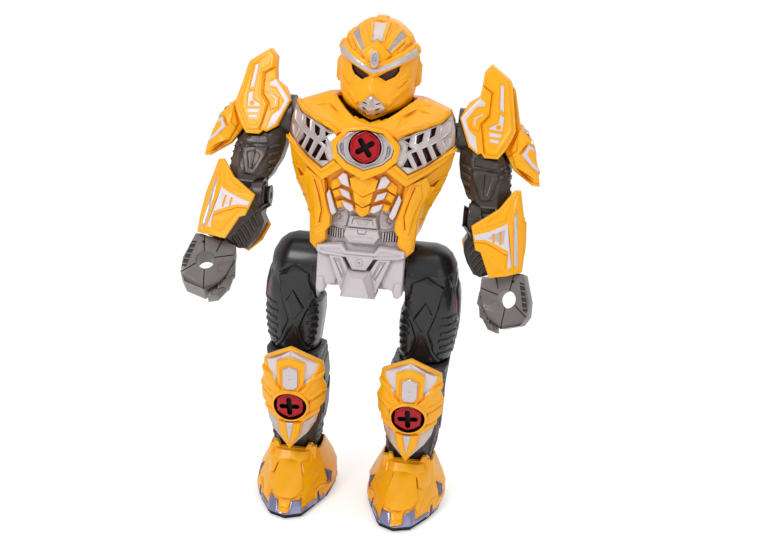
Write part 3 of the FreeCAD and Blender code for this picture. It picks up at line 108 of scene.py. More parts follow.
arm_down = (WRIST - ELBOW).normalized()
FRONT = Vector((0, -1, 0))
arm_front = (FRONT - arm_down * FRONT.dot(arm_down)).normalized()
arm_across = arm_front.cross(arm_down)
AXES = {
    "front": Matrix.Identity(4),
    "out": view((0, 1, 0), (-1, 0, 0), (0, 0, 1)),      # seen from +x
    "in": view((0, -1, 0), (1, 0, 0), (0, 0, 1)),       # seen from -x
    "back": view((-1, 0, 0), (0, -1, 0), (0, 0, 1)),
    "top": view((1, 0, 0), (0, 0, -1), (0, 1, 0)),
    "hand": view(arm_across, -arm_front, -arm_down, FIST_CENTRE),
}


# ------------------------------------------------------------------ outlines
def pts(outline):
    """Points as number tuples, from text or as given."""
    if isinstance(outline, str):
        return [tuple(map(float, point.split())) for point in outline.split(",")]
    return list(outline)


def ccw(outline):
    """The outline turned counter-clockwise."""
    here = np.asarray(outline, float)
    after = np.roll(here, -1, 0)
    area = (here[:, 0] * after[:, 1] - after[:, 0] * here[:, 1]).sum()
    return list(outline) if area > 0 else list(reversed(outline))


def inside_distance(points, outline):
    """Distance to the outline, positive inside it."""
    points = np.asarray(points, float)
    start = np.asarray(outline, float)
    end = np.roll(start, -1, 0)
    nearest = np.full(len(points), 1e18)
    inside = np.zeros(len(points), bool)
    for i in range(len(start)):
        edge = end[i] - start[i]
        offset = points - start[i]
        along = np.clip((offset @ edge) / max(float(edge @ edge), 1e-12), 0, 1)
        gap = offset - along[:, None] * edge
        nearest = np.minimum(nearest, (gap * gap).sum(1))
        crosses = (start[i, 1] > points[:, 1]) != (end[i, 1] > points[:, 1])
        rise = end[i, 1] - start[i, 1]
        if abs(rise) > 1e-12:
            meets_x = edge[0] * (points[:, 1] - start[i, 1]) / rise + start[i, 0]
            inside ^= crosses & (points[:, 0] < meets_x)
    distance = np.sqrt(nearest)
    return np.where(inside, distance, -distance)


def inset(outline, width):
    """The outline moved in by width, or out if width is negative."""
    outline = ccw(pts(outline))
    corners = [Vector(point) for point in outline]
    moved = []
    for i, corner in enumerate(corners):
        before = corner - corners[i - 1]
        after = corners[(i + 1) % len(corners)] - corner
        if before.length < 1e-9 or after.length < 1e-9:
            continue
        before.normalize()
        after.normalize()
        normal = Vector((-before.y, before.x))
        middle = normal + Vector((-after.y, after.x))
        if middle.length < 1e-6:
            middle = normal.copy()
        middle.normalize()
        reach = min(1.0 / max(middle.dot(normal), 0.3), 2.5)
        moved.append((corner.x + middle.x * width * reach, corner.y + middle.y * width * reach))
    if len(moved) < 3:
        return []
    if width < 0:
        return moved
    distances = inside_distance(moved, outline)
    return [point for point, distance in zip(moved, distances) if distance > width * 0.7]


def flip(outline, middle=0):
    """Mirror image about x = middle."""
    return [(2 * middle - x, z) for x, z in pts(outline)]


def sym(half, middle=0):
    """Whole outline from its +x half."""
    half = pts(half)
    return half + flip([p for p in reversed(half) if abs(p[0] - middle) > 1e-6], middle)


def disc(x, z, radius, count, radius_z=None):
    angles = [2 * math.pi * k / count for k in range(count)]
    return [(x + radius * math.cos(a), z + (radius_z or radius) * math.sin(a)) for a in angles]


def top_disc(y, radius_x, radius_y, count):
    """Ellipse in the top view, starting at the front."""
    angles = [2 * math.pi * k / count for k in range(count)]
    return [(radius_x * math.sin(a), y - radius_y * math.cos(a)) for a in angles]


def strip(line, width):
    """Thin outline along a line of points."""
    line = [Vector(point) for point in pts(line)]
    left, right = [], []
    for i, point in enumerate(line):
        before, after = line[max(0, i - 1)], line[min(len(line) - 1, i + 1)]
        along = (after - before).normalized()
        normal = Vector((-along.y, along.x))
        reach = 1.0
        if 0 < i < len(line) - 1:
            first = (point - before).normalized()
            reach = 1.0 / max(normal.dot(Vector((-first.y, first.x))), 0.5)
        left.append(tuple(point + normal * width / 2 * reach))
        right.append(tuple(point - normal * width / 2 * reach))
    return left + right[::-1]


def scaled(outline, factor):
    """The outline scaled about the mean of its points."""
    outline = pts(outline)
    mid_x = sum(p[0] for p in outline) / len(outline)
    mid_z = sum(p[1] for p in outline) / len(outline)
    return [(mid_x + (x - mid_x) * factor, mid_z + (z - mid_z) * factor) for x, z in outline]


# ------------------------------------------------------------------ steps in a plate's height
Step = namedtuple("Step", "outline height slope mat rounded margin level")


def step(outline, height=0, slope=0.35, mat=None, rounded=False, margin=0, level=None):
    """Raise the inside of an outline by height, over a slope of the given width.

    level sets the height outright. mat colours the faces further in than margin.
    """
    return Step(pts(outline), height, slope, mat, rounded, margin, level)


def roll(outline, height, slope, mat=None):
    """A step with a rounded shoulder."""
    return step(outline, height, slope, mat, rounded=True)


def bar(line, width, *relief, **more):
    """A step along a line."""
    return step(strip(line, width), *relief, **more)


def rib(line, width, height, slope):
    """A rounded step along a line."""
    return roll(strip(line, width), height, slope)


def other(one, middle=0):
    return one._replace(outline=flip(one.outline, middle))


def both(one, middle=0):
    """A step and its mirror image."""
    return [one, other(one, middle)]


# ------------------------------------------------------------------ base surfaces
class Sheet:
    """Softened surface through control points (x, depth, z)."""

    def __init__(self, points, soft):
        self.points = [np.array(point) for point in pts(points)]
        found = delaunay_2d_cdt([Vector((p[0], p[2])) for p in self.points], [], [], 0, 1e-6)
        source = [origin[0] for origin in found[3]]
        self.triangles = [(source[face[0]], source[face[k]], source[face[k + 1]])
                          for face in found[2] for k in range(1, len(face) - 1)]
        self.soft = soft

    def sharp_depth(self, points):
        points = np.asarray(points, float)
        best = np.full(len(points), 1e18)
        depth = np.zeros(len(points))
        for corners in self.triangles:
            A, B, C = (self.points[i] for i in corners)
            area = (B[2] - C[2]) * (A[0] - C[0]) + (C[0] - B[0]) * (A[2] - C[2])
            if abs(area) < 1e-9:
                continue
            from_x, from_z = points[:, 0] - C[0], points[:, 1] - C[2]
            wa = ((B[2] - C[2]) * from_x + (C[0] - B[0]) * from_z) / area
            wb = ((C[2] - A[2]) * from_x + (A[0] - C[0]) * from_z) / area
            wc = 1 - wa - wb
            outside = np.maximum(0, -np.minimum(np.minimum(wa, wb), wc)) * math.sqrt(abs(area))
            wa, wb, wc = np.clip(wa, 0, 1), np.clip(wb, 0, 1), np.clip(wc, 0, 1)
            value = (wa * A[1] + wb * B[1] + wc * C[1]) / (wa + wb + wc)
            nearer = outside < best - 1e-9
            best = np.where(nearer, outside, best)
            depth = np.where(nearer, value, depth)
        return depth

    def depth(self, points):
        points = np.asarray(points, float)
        total = self.sharp_depth(points) * 2
        for k in range(8):
            angle = k * math.pi / 4
            shift = np.array([math.cos(angle), math.sin(angle)]) * self.soft
            total = total + self.sharp_depth(points + shift)
        return total / 10


class Scan:
    """Softened depth of CAD nodes (names in one text) seen along the plate's axis."""

    def __init__(self, names, soft):
        self.names, self.soft = names.split(), soft

    def aim(self, frame):
        inverse = frame.inverted()
        verts, faces = [], []
        for name in self.names:
            mesh = NODES[name].data
            first = len(verts)
            verts += [inverse @ v.co for v in mesh.vertices]
            faces += [[i + first for i in face.vertices] for face in mesh.polygons]
        self.tree = BVHTree.FromPolygons(verts, faces)

    def ray(self, x, z):
        hit = self.tree.ray_cast(Vector((x, -400, z)), Vector((0, 1, 0)))[0]
        return None if hit is None else hit.y

    def around(self, x, z, radius):
        angles = [k * math.pi / 4 for k in range(8)]
        hits = [self.ray(x + radius * math.cos(a), z + radius * math.sin(a)) for a in angles]
        return [hit for hit in hits if hit is not None]

    def sharp_depth(self, x, z):
        hit = self.ray(x, z)
        if hit is not None:
            return hit
        for radius in (0.7, 1.5, 2.5, 4, 6, 9):
            hits = self.around(x, z, radius)
            if hits:
                return sum(hits) / len(hits)
        return 0.0

    def depth(self, points):
        depths = []
        for x, z in points:
            centre = self.sharp_depth(x, z)
            near = [hit for hit in self.around(x, z, self.soft)
                    if abs(hit - centre) < self.soft * 3] + [centre, centre]
            depths.append(sum(near) / len(near))
        return np.array(depths)


def depth_function(surface, frame):
    """Depths of an array of points on a Scan, a Sheet, a formula f(x, z) or a fixed depth."""
    if isinstance(surface, Scan):
        surface.aim(frame)
    if isinstance(surface, (Scan, Sheet)):
        return surface.depth
    if callable(surface):
        return lambda points: np.array([surface(float(x), float(z)) for x, z in points])
    return lambda points: np.full(len(points), float(surface))


# ------------------------------------------------------------------ materials
def add_node(tree, kind, inputs, **settings):
    """New shader node; an input given as a socket is linked, any other is a value."""
    node = tree.nodes.new("ShaderNode" + kind)
    for key, value in settings.items():
        setattr(node, key, value)
    for key, value in inputs.items():
        if isinstance(value, bpy.types.NodeSocket):
            tree.links.new(value, node.inputs[key])
        else:
            node.inputs[key].default_value = value
    return node


def linear(rgb):
    """8-bit sRGB to linear."""
    return [x / 255.0 / 12.92 if x <= 10.31 else ((x / 255.0 + 0.055) / 1.055) ** 2.4
            for x in rgb]


MAT = {}


def finish(name, rgb, rough=0.4, metal=0.0, dark=None, vary=0.06, bump=0.12, grain=900.0,
           wear=None, coat=0.0, reach=0.0035, shine=0.5):
    """Material of colour rgb (0-255).

    dark: colour of the painted shade in crevices, found within reach (m); wear: colour of sharp
    convex edges;
    vary: share by which the tone wanders; grain: scale of the fine bump; shine: specular.
    """
    mat = bpy.data.materials.new(name)
    mat.use_nodes = True
    tree = mat.node_tree
    shader = tree.nodes["Principled BSDF"]
    colour = linear(rgb)
    crevice_shade = linear(dark) if dark else [x * 0.35 for x in colour]
    edge_colour = linear(wear) if wear else [min(1.0, x * 1.25 + 0.02) for x in colour]

    coords = tree.nodes.new("ShaderNodeTexCoord").outputs["Object"]
    clouds = add_node(tree, "TexNoise", {"Vector": coords, "Scale": 55.0, "Detail": 4.0})
    fine = add_node(tree, "TexNoise", {"Vector": coords, "Scale": grain, "Detail": 3.0})
    tone = add_node(tree, "MapRange", {
        "Value": clouds.outputs["Fac"], "From Min": 0.3, "From Max": 0.7,
        "To Min": 1.0 - vary, "To Max": 1.0 + vary})
    toned = add_node(tree, "VectorMath", {0: colour, "Scale": tone.outputs["Result"]},
                     operation="SCALE")

    # painted shade: the colour darkens towards dark in crevices that ambient occlusion finds
    # within reach
    hidden = add_node(tree, "AmbientOcclusion", {"Distance": reach}, samples=4)
    openness = add_node(tree, "MapRange", {
        "Value": hidden.outputs["AO"], "From Min": 0.35, "From Max": 0.92})
    shaded = add_node(tree, "Mix", {
        "A": crevice_shade + [1], "Factor": openness.outputs["Result"],
        "B": toned.outputs["Vector"]}, data_type="RGBA")

    # lighter towards the edge colour on sharp convex edges, found by pointiness
    shape = tree.nodes.new("ShaderNodeNewGeometry")
    edge_share = add_node(tree, "MapRange", {
        "Value": shape.outputs["Pointiness"], "From Min": 0.53, "From Max": 0.64,
        "To Max": 0.35})
    edged = add_node(tree, "Mix", {
        "B": edge_colour + [1], "Factor": edge_share.outputs["Result"],
        "A": shaded.outputs["Result"]}, data_type="RGBA")
    tree.links.new(edged.outputs["Result"], shader.inputs["Base Color"])

    roughness = add_node(tree, "MapRange", {
        "Value": clouds.outputs["Fac"], "To Min": max(0.03, rough - 0.07),
        "To Max": rough + 0.09})
    tree.links.new(roughness.outputs["Result"], shader.inputs["Roughness"])
    relief = add_node(tree, "Bump", {
        "Height": fine.outputs["Fac"], "Strength": bump, "Distance": 0.0002})
    tree.links.new(relief.outputs["Normal"], shader.inputs["Normal"])
    shader.inputs["Metallic"].default_value = metal
    shader.inputs["Coat Weight"].default_value = coat
    shader.inputs["Coat Roughness"].default_value = 0.12
    shader.inputs["Specular IOR Level"].default_value = shine
    MAT[name] = mat


finish("yellow", (255, 178, 8), rough=0.30, dark=(226, 122, 0), vary=0.03, bump=0.06,
       coat=0.12, wear=(255, 202, 70), shine=0.36, reach=0.0024)
finish("yellow_back", (246, 166, 12), rough=0.36, dark=(206, 104, 0), vary=0.03, bump=0.10,
       wear=(252, 192, 70), shine=0.36)
finish("silver", (214, 204, 206), rough=0.30, metal=0.55, dark=(140, 128, 130), vary=0.04,
       bump=0.08)
finish("silver_warm", (206, 190, 182), rough=0.26, metal=0.7, dark=(120, 105, 100), bump=0.08)
finish("white_ink", (226, 216, 220), rough=0.42, metal=0.1, dark=(170, 160, 165), vary=0.03)
finish("chrome", (216, 208, 207), rough=0.34, metal=0.95, dark=(84, 70, 70), vary=0.03,
       bump=0.02, reach=0.002)
finish("window", (84, 26, 16), rough=0.35, dark=(30, 8, 5), vary=0.25, grain=500)
finish("lgrey", (206, 198, 202), rough=0.45, dark=(140, 130, 134), vary=0.03, bump=0.10)
finish("gun", (76, 69, 65), rough=0.30, metal=0.45, dark=(22, 18, 17), vary=0.08,
       wear=(140, 136, 128), bump=0.10)
finish("hand", (116, 109, 107), rough=0.36, metal=0.3, dark=(46, 41, 40),
       wear=(165, 162, 155), bump=0.10)
finish("hand_dark", (50, 46, 46), rough=0.5, metal=0.1, dark=(20, 18, 18))
finish("charcoal", (27, 26, 30), rough=0.27, dark=(6, 6, 8), vary=0.08, wear=(72, 72, 80),
       bump=0.08, coat=0.2)
finish("shin", (58, 50, 48), rough=0.34, dark=(18, 14, 14), vary=0.08, wear=(100, 90, 88))
finish("red", (176, 6, 24), rough=0.22, dark=(70, 0, 6), vary=0.05, coat=0.12, bump=0.04,
       shine=0.3)
finish("black", (14, 9, 9), rough=0.45, dark=(4, 3, 3), vary=0.2, shine=0.2)
# dark maroon for the cups round the bolts: painted shade in the gap round each bolt
finish("cup", (64, 6, 12), rough=0.25, dark=(20, 2, 4), vary=0.1, shine=0.3)
finish("bluegrey", (150, 150, 186), rough=0.24, metal=0.8, dark=(84, 82, 110), vary=0.08,
       bump=0.05)
finish("indigo", (88, 84, 118), rough=0.32, metal=0.6, dark=(44, 40, 62), vary=0.08)
finish("neck", (70, 36, 26), rough=0.5, dark=(24, 12, 8), vary=0.1)
finish("visor", (70, 24, 16), rough=0.25, dark=(30, 8, 5), vary=0.4, grain=300, bump=0.5)
# orange for grooves: painted shade in creases of the yellow plastic
finish("orange_line", (226, 96, 14), dark=(190, 70, 0), vary=0.05)
finish("steel", (170, 170, 172), rough=0.3, metal=0.95, dark=(80, 80, 82), vary=0.05, bump=0.2)
finish("rubber", (38, 38, 40), rough=0.75, dark=(14, 14, 15), vary=0.1, bump=0.5)
finish("sole", (44, 42, 46), rough=0.6, dark=(18, 17, 19), vary=0.1, bump=0.4)
finish("board", (16, 84, 40), rough=0.35, dark=(5, 30, 14), vary=0.2)
finish("cell", (40, 74, 150), rough=0.3, metal=0.3, dark=(14, 26, 60), vary=0.1)
finish("nylon", (225, 222, 212), rough=0.5, dark=(150, 148, 140), vary=0.03)


# ------------------------------------------------------------------ plates
def add_mesh(name, verts, faces, face_mats, mats, body, slot=None, sharp=34):
    mesh = bpy.data.meshes.new(name)
    mesh.from_pydata([tuple(v) for v in verts], [], faces)
    for mat in mats:
        mesh.materials.append(MAT[mat])
    mesh.polygons.foreach_set("material_index", face_mats)
    clean = bmesh.new()
    clean.from_mesh(mesh)
    bmesh.ops.remove_doubles(clean, verts=clean.verts, dist=2e-6)
    bmesh.ops.dissolve_degenerate(clean, dist=1e-6, edges=clean.edges)
    bmesh.ops.recalc_face_normals(clean, faces=clean.faces)
    clean.to_mesh(mesh)
    clean.free()
    mesh.polygons.foreach_set("use_smooth", [True] * len(mesh.polygons))
    mesh.set_sharp_from_angle(angle=math.radians(sharp))
    mesh.validate()
    piece = bpy.data.objects.new(name, mesh)
    scene.collection.objects.link(piece)
    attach(piece, body)
    return piece


def grid_points(outline, steps, grid):
    """Staggered rows of points that keep clear of the outline and the steps' edges."""
    min_x, min_z = min(p[0] for p in outline), min(p[1] for p in outline)
    max_x, max_z = max(p[0] for p in outline), max(p[1] for p in outline)
    points = []
    row = 0
    z = min_z + grid * 0.5
    while z < max_z:
        x = min_x + (grid * 0.5 if row % 2 else 0)
        while x < max_x:
            points.append((x, z))
            x += grid
        z += grid * 0.866
        row += 1
    points = np.array(points)
    keep = inside_distance(points, outline) > grid * 0.35
    for one in steps:
        keep &= np.abs(inside_distance(points, one.outline)) > grid * 0.2
    return points[keep]


def triangulate(outline, steps, holes, bevel, rounds, grid):
    """Flat points and triangles that follow the edges of the bevel, steps and holes."""
    loops = [outline]
    for k in range(1, rounds + 1):
        loops.append(inset(outline, bevel * (1 - math.cos(k / rounds * math.pi / 2))))
    for one in steps:
        loops.append(ccw(one.outline))
        for share in ((0.3, 0.65, 1.0) if one.rounded else (1.0,)):
            loops.append(inset(one.outline, one.slope * share))
    for hole in holes:
        loops += [ccw(hole), inset(hole, -0.4)]
    points, edges = [], []
    for loop in loops:
        if len(loop) < 3:
            continue
        first, count = len(points), len(loop)
        points += [Vector(p) for p in loop]
        edges += [(first + i, first + (i + 1) % count) for i in range(count)]
    points += [Vector(p) for p in grid_points(outline, steps, grid)]
    found = delaunay_2d_cdt(points, edges, [], 0, 1e-3)
    flat = np.array([[p.x, p.y] for p in found[0]])
    tris = np.array([(face[0], face[k], face[k + 1])
                     for face in found[2] for k in range(1, len(face) - 1)])
    centres = flat[tris].mean(1)
    side_a = flat[tris[:, 1]] - flat[tris[:, 0]]
    side_b = flat[tris[:, 2]] - flat[tris[:, 0]]
    area = np.abs(side_a[:, 0] * side_b[:, 1] - side_b[:, 0] * side_a[:, 1])
    keep = (inside_distance(centres, outline) > 0) & (area > 1e-7)
    for hole in holes:
        keep &= inside_distance(centres, hole) < 0
    return flat, tris[keep]


def plate_heights(flat, outline, steps, holes, high, bevel, edge):
    heights = np.full(len(flat), float(high))
    for one in steps:
        share = np.clip(inside_distance(flat, one.outline) / one.slope, 0, 1)
        if one.rounded:
            share = np.sin(share * math.pi / 2)
        if one.level is None:
            heights = heights + one.height * share
        else:
            heights = heights * (1 - share) + one.level * share
    share = np.clip(inside_distance(flat, outline) / bevel, 0, 1)
    share = np.sqrt(np.clip(1 - (1 - share) ** 2, 0, 1))
    heights = edge * (1 - share) + heights * share
    for hole in holes:
        share = np.clip(-inside_distance(flat, hole) / 0.4, 0, 1)
        heights = (heights - 0.35) * (1 - share) + heights * share
    return heights


def lay_on(depth, flat, heights, sink):
    """Top points raised along the surface normal, bottom points sunk straight back."""
    reach = 0.4
    base = depth(flat)
    slope_x = (depth(flat + [reach, 0]) - depth(flat - [reach, 0])) / (2 * reach)
    slope_z = (depth(flat + [0, reach]) - depth(flat - [0, reach])) / (2 * reach)
    slope_x, slope_z = np.clip(slope_x, -2.0, 2.0), np.clip(slope_z, -2.0, 2.0)
    normal = np.stack([slope_x, -np.ones(len(flat)), slope_z], 1)
    normal /= np.linalg.norm(normal, axis=1)[:, None]
    top = np.stack([flat[:, 0], base, flat[:, 1]], 1) + normal * heights[:, None]
    return top, np.stack([flat[:, 0], base + sink, flat[:, 1]], 1)


def panel(name, surface, outline, steps=(), body="torso", holes=(), mat="yellow", high=0.6,
          bevel=0.6, sink=1.4, grid=2.4, edge=-0.2, axis="front", pair=False, rounds=2,
          sharp=34, wrap=None, place=None, replaces=None, slot=None):
    """A raised plate on a surface; pair, or "%s" in the body, makes a left and a right one.

    high: height above the surface; bevel: width of the rounded rim; sink: depth of the
    underside; grid: mesh spacing; edge: height of the rim; rounds: loops in the bevel.
    wrap maps arrays (across, up, height) to points, instead of a surface.
    """
    outline = ccw(pts(outline))
    steps = [one for one in steps if len(one.outline) > 2]
    flat, tris = triangulate(outline, steps, holes, bevel, rounds, grid)
    heights = plate_heights(flat, outline, steps, holes, high, bevel, edge)
    if wrap:
        top = wrap(flat[:, 0], flat[:, 1], heights)
        bottom = wrap(flat[:, 0], flat[:, 1], np.full(len(flat), -float(sink)))
    else:
        depth = depth_function(surface, placement(body) @ AXES[axis])
        top, bottom = lay_on(depth, flat, heights, sink)

    mats = [mat]
    face_mats = np.zeros(len(tris), int)
    centres = flat[tris].mean(1)
    for one in steps:
        if one.mat:
            if one.mat not in mats:
                mats.append(one.mat)
            within = inside_distance(centres, one.outline) > one.margin
            face_mats = np.where(within, mats.index(one.mat), face_mats)

    # close the plate: top, bottom, then a wall under every open edge
    uses = {}
    for a, b, c in tris:
        for i, j in ((a, b), (b, c), (c, a)):
            uses.setdefault((min(i, j), max(i, j)), []).append((i, j))
    count = len(flat)
    faces = [tuple(int(i) for i in tri) for tri in tris]
    faces += [tuple(int(i) + count for i in tri[::-1]) for tri in tris]
    face_mats = list(map(int, face_mats)) + [0] * len(tris)
    for ways in uses.values():
        if len(ways) == 1:
            i, j = map(int, ways[0])
            faces.append((j, i, i + count, j + count))
            face_mats.append(0)
    used = sorted({i for face in faces for i in face})
    new_index = {old: new for new, old in enumerate(used)}
    verts = np.concatenate([top, bottom])[used]
    faces = [tuple(new_index[i] for i in face) for face in faces]

    paired = pair or "%s" in body

    def sided(text, side):
        return text % SIDE_NAME[side] if "%s" in text else text

    for side in (1, -1) if paired else (1,):
        frame = (place(side) if place else placement(body, side)) @ AXES[axis]
        piece = add_mesh(name + ("_" + SIDE_NAME[side] if paired else ""),
                         [frame @ Vector(v) for v in verts], faces, face_mats, mats,
                         sided(body, side), slot, sharp)
        if replaces:
            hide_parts(sided(replaces, side))


head = partial(panel, body="head")
leg = partial(panel, body=LEG)
arm = partial(panel, body=ARM)
forearm = partial(panel, body=FOREARM)
fist = partial(panel, body=FIST, axis="hand", mat="hand")

# ------------------------------------------------------------------ CAD pieces
CAD_FINISH = {node: mat for mat, nodes in {
    "yellow": "chest_front_shell face_mask helmet_back shoulder_pad shoulder_wing "
              "forearm_guard shin_guard foot_shell",
    "yellow_back": "chest_back_shell battery_door",
    "lgrey": "waist_front waist_back",
    "gun": "upper_arm_front upper_arm_back forearm_front forearm_back",
    "hand": "hand",
    "charcoal": "thigh_front thigh_back",
    "shin": "shin_front shin_back",
    "chrome": "chest_grille",
    "window": "grille_backing",
    "silver": "emblem_bezel forehead_jewel",
    "silver_warm": "mouth_plate",
    "red": "chest_bolt shin_bolt",
    "neck": "neck_post",
    "visor": "eye_visor",
    "sole": "foot_sole",
    "rubber": "foot_roller",
    "steel": "hip_axle torso_screws elbow_pin battery_contacts gear_motor",
    "cell": "battery_cells",
    "board": "circuit_board",
    "black": "speaker power_switch",
    "nylon": "drive_crank",
}.items() for node in nodes.split()}
BEVEL_MM = {"chest_front_shell": 0.5, "foot_shell": 0.9, "thigh_front": 1.6, "thigh_back": 1.6,
            "upper_arm_front": 1.0, "upper_arm_back": 1.0, "forearm_front": 0.9,
            "forearm_back": 0.9, "hand": 1.0, "shin_front": 1.0, "shin_back": 1.0,
            "chest_back_shell": 1.2, "waist_front": 0.6, "waist_back": 0.8}
OTHER_BEVEL_MM = 0.4
INTERNAL = ("hip_axle torso_screws elbow_pin battery_contacts battery_cells circuit_board "
            "speaker gear_motor drive_crank").split()

for node_name, node in NODES.items():
    kind = node_name.removesuffix("_left").removesuffix("_right")
    inner = kind in INTERNAL
    node.data.materials.clear()
    node.data.materials.append(MAT[CAD_FINISH[kind]])
    node.data.polygons.foreach_set("use_smooth", [True] * len(node.data.polygons))
    weld = node.modifiers.new("weld", "WELD")
    weld.merge_threshold = 2e-5
    planar = node.modifiers.new("planar", "DECIMATE")
    planar.decimate_type = "DISSOLVE"
    planar.angle_limit = math.radians(1.5)
    round_off = node.modifiers.new("bevel", "BEVEL")
    round_off.limit_method = "ANGLE"
    round_off.angle_limit = math.radians(40 if inner else 22)
    round_off.width = BEVEL_MM.get(kind, OTHER_BEVEL_MM) / 1000
    round_off.segments = 1 if inner else 3
    round_off.use_clamp_overlap = True
    round_off.harden_normals = True
    round_off.miter_outer = "MITER_ARC"
    weighted = node.modifiers.new("wn", "WEIGHTED_NORMAL")
    weighted.keep_sharp = True

# ------------------------------------------------------------------ chest
# control points: x, y, z
YOKE_POINTS = """0 -37.5 277, 0 -34.2 279.5, 9.5 -33.2 281.8, 17.2 -25.6 286.8, 24.6 -14 293,
    28.7 -9 296, 34.6 -7 295.4, 44.2 -8.5 290.4, 52.2 -9 291.2, 53.6 -11.5 287.6,
    47.8 -17.4 281.8, 39.9 -25 278.6, 32.9 -31 276, 24.8 -36 272.8, 19.6 -39.5 270,
    45.2 -11.5 288.6, 42.1 -14.5 286, 35.5 -20.5 282.4, 26 -27.5 279.4, 18.7 -33 277.6,
    12 -38 275.5, 36 -12 289.5, 26 -19 286.5, 15 -31.5 280.8"""
YOKE_HALF = """0 278.9, 9.4 281.9, 17.1 287.1, 24.4 293.1, 28.7 295.9, 34.6 295.3, 39.5 292,
    44.2 290, 51.9 290.9, 53.3 288, 47.8 282, 39.9 278.8, 32.9 276.3, 24.8 273, 20 270.2,
    12.6 275.2, 0 276.2"""
YOKE_LIP = """52.5 292.5, 49.6 287.9, 44 284, 35.6 279.8, 26 276.4, 19.4 273.6, 15.5 272.5,
    19 266, 26 270, 35 274, 42 277, 50 280, 56 286, 57 292"""
YOKE_HOLLOW = "40.6 286.9, 30 289.9, 20 284.6, 17.6 276.4, 26.6 279.6, 35 282.8"
YOKE_CORNER = "28.2 295.4, 34.4 294.9, 39.2 292, 31 291.2, 25.4 292.8"
yoke_surface = Sheet([(x * side, y, z) for x, y, z in pts(YOKE_POINTS)
                      for side in ((1, -1) if x > 0 else (1,))], soft=1.2)
panel("yoke_plate", yoke_surface, sym(YOKE_HALF),
      both(roll(YOKE_LIP, 3.4, 2.2)) + both(roll(YOKE_HOLLOW, -0.5, 1.5))
      + both(step(YOKE_CORNER, 0.5, 0.5)),
      high=1.4, bevel=1, sink=2.2, grid=1.9)

# chrome grille: frame bars with dark windows; three rows of control points, top to bottom
GRILLE_POINTS = """19.6 -38.6 271, 26.5 -36 274, 33 -31.6 276.4, 40 -25.6 279.2,
    47.8 -17.4 283, 54.6 -9.6 289.2,
    19.6 -41.2 262.5, 28 -38.4 266.5, 33.5 -34.4 268, 41 -28 270.5, 48.6 -19.6 272.5,
    57.2 -10.2 273.5,
    20 -40.2 255.4, 28.6 -38.4 248.6, 36 -33.2 252.2, 44.6 -25.8 257.8, 50.4 -20.6 261.8,
    57.6 -11.2 266.6"""
GRILLE = """53.6 288.2, 47.8 282.6, 39.9 279.4, 32.9 276.9, 24.8 273.6, 19.9 270.9, 22.9 267,
    21.7 258, 20.1 255.6, 29 248.2, 34.4 251, 40.1 254.2, 45.2 257.8, 50.4 261.5,
    56.7 265.8, 57.2 270, 56.6 278.5"""
WINDOWS = ("44.1 280.2, 40.6 278.6, 40.2 272.3, 43.4 274.4",
           "36.6 276.4, 32.2 274.2, 32.2 269.6, 33.6 268.8, 36 271",
           "28.3 273, 24.4 271.3, 27.9 269.2",
           "30.3 266, 27.2 267.8, 27.2 264.2",
           "44.8 269.8, 42 268.2, 45.9 260, 48.8 261.6",
           "39.2 267.3, 36 265.8, 40 256.4, 43.3 258.4",
           "32.7 264.4, 29.5 263, 34.2 253.8, 37.2 255.4",
           "27.8 260.2, 25 253.9, 31.2 253.2")
SILVER_CELLS = ("50.5 284.1, 47.6 281, 47.3 275.1, 48.6 272.7, 53 276.7, 53.4 283.6",
                "51 272.6, 54.6 273.4, 53.6 267.2, 51.6 265.6, 49.2 270.6")
steps = [step(inset(window, -0.75), 0.4, 0.4, "silver") for window in WINDOWS]
steps += [step(window, 0, 0.5, "window", margin=0.15, level=-2.2) for window in WINDOWS]
for cell in SILVER_CELLS:
    steps += [step(inset(cell, -0.7), 0.55, 0.4), step(cell, -0.5, 0.5, "silver")]
panel("grille_frame", Sheet(GRILLE_POINTS, soft=0.8), GRILLE, steps, mat="chrome", high=0.3,
      bevel=0.5, sink=3.2, grid=2, pair=True, slot="chrome_plated")

# V rim under the grille
V_RIM = """58.6 266, 56.7 265.4, 50.4 261.3, 45.2 257.6, 40.1 254, 34.4 250.8, 28.8 248,
    20.1 255.4, 14 251, 28.2 240.9, 38.4 247.2, 49.4 254.6, 56 260.3"""
V_RIM_POINTS = """59 -11 266.5, 56.7 -15.6 265.4, 50.4 -22 261.3, 45.2 -26.4 257.6,
    40.1 -30.4 254, 34.4 -35.6 250.8, 28.8 -40.2 248, 20.1 -42 255.4, 14 -44 251,
    28.2 -41.6 240.9, 38.4 -33.5 247.2, 49.4 -24 254.6, 56 -17 260.3, 58.6 -12 264"""
panel("chest_v_rim", Sheet(V_RIM_POINTS, soft=0.7), V_RIM, [
    step("""60 267.5, 50 263.2, 40 256, 28.9 249.6, 20.5 257, 17.6 253.4, 28.4 245.6,
         39.4 252, 49.8 258.9, 57.6 263.4""", 1.1, 0.8)],
      high=0.9, sink=4, pair=True)

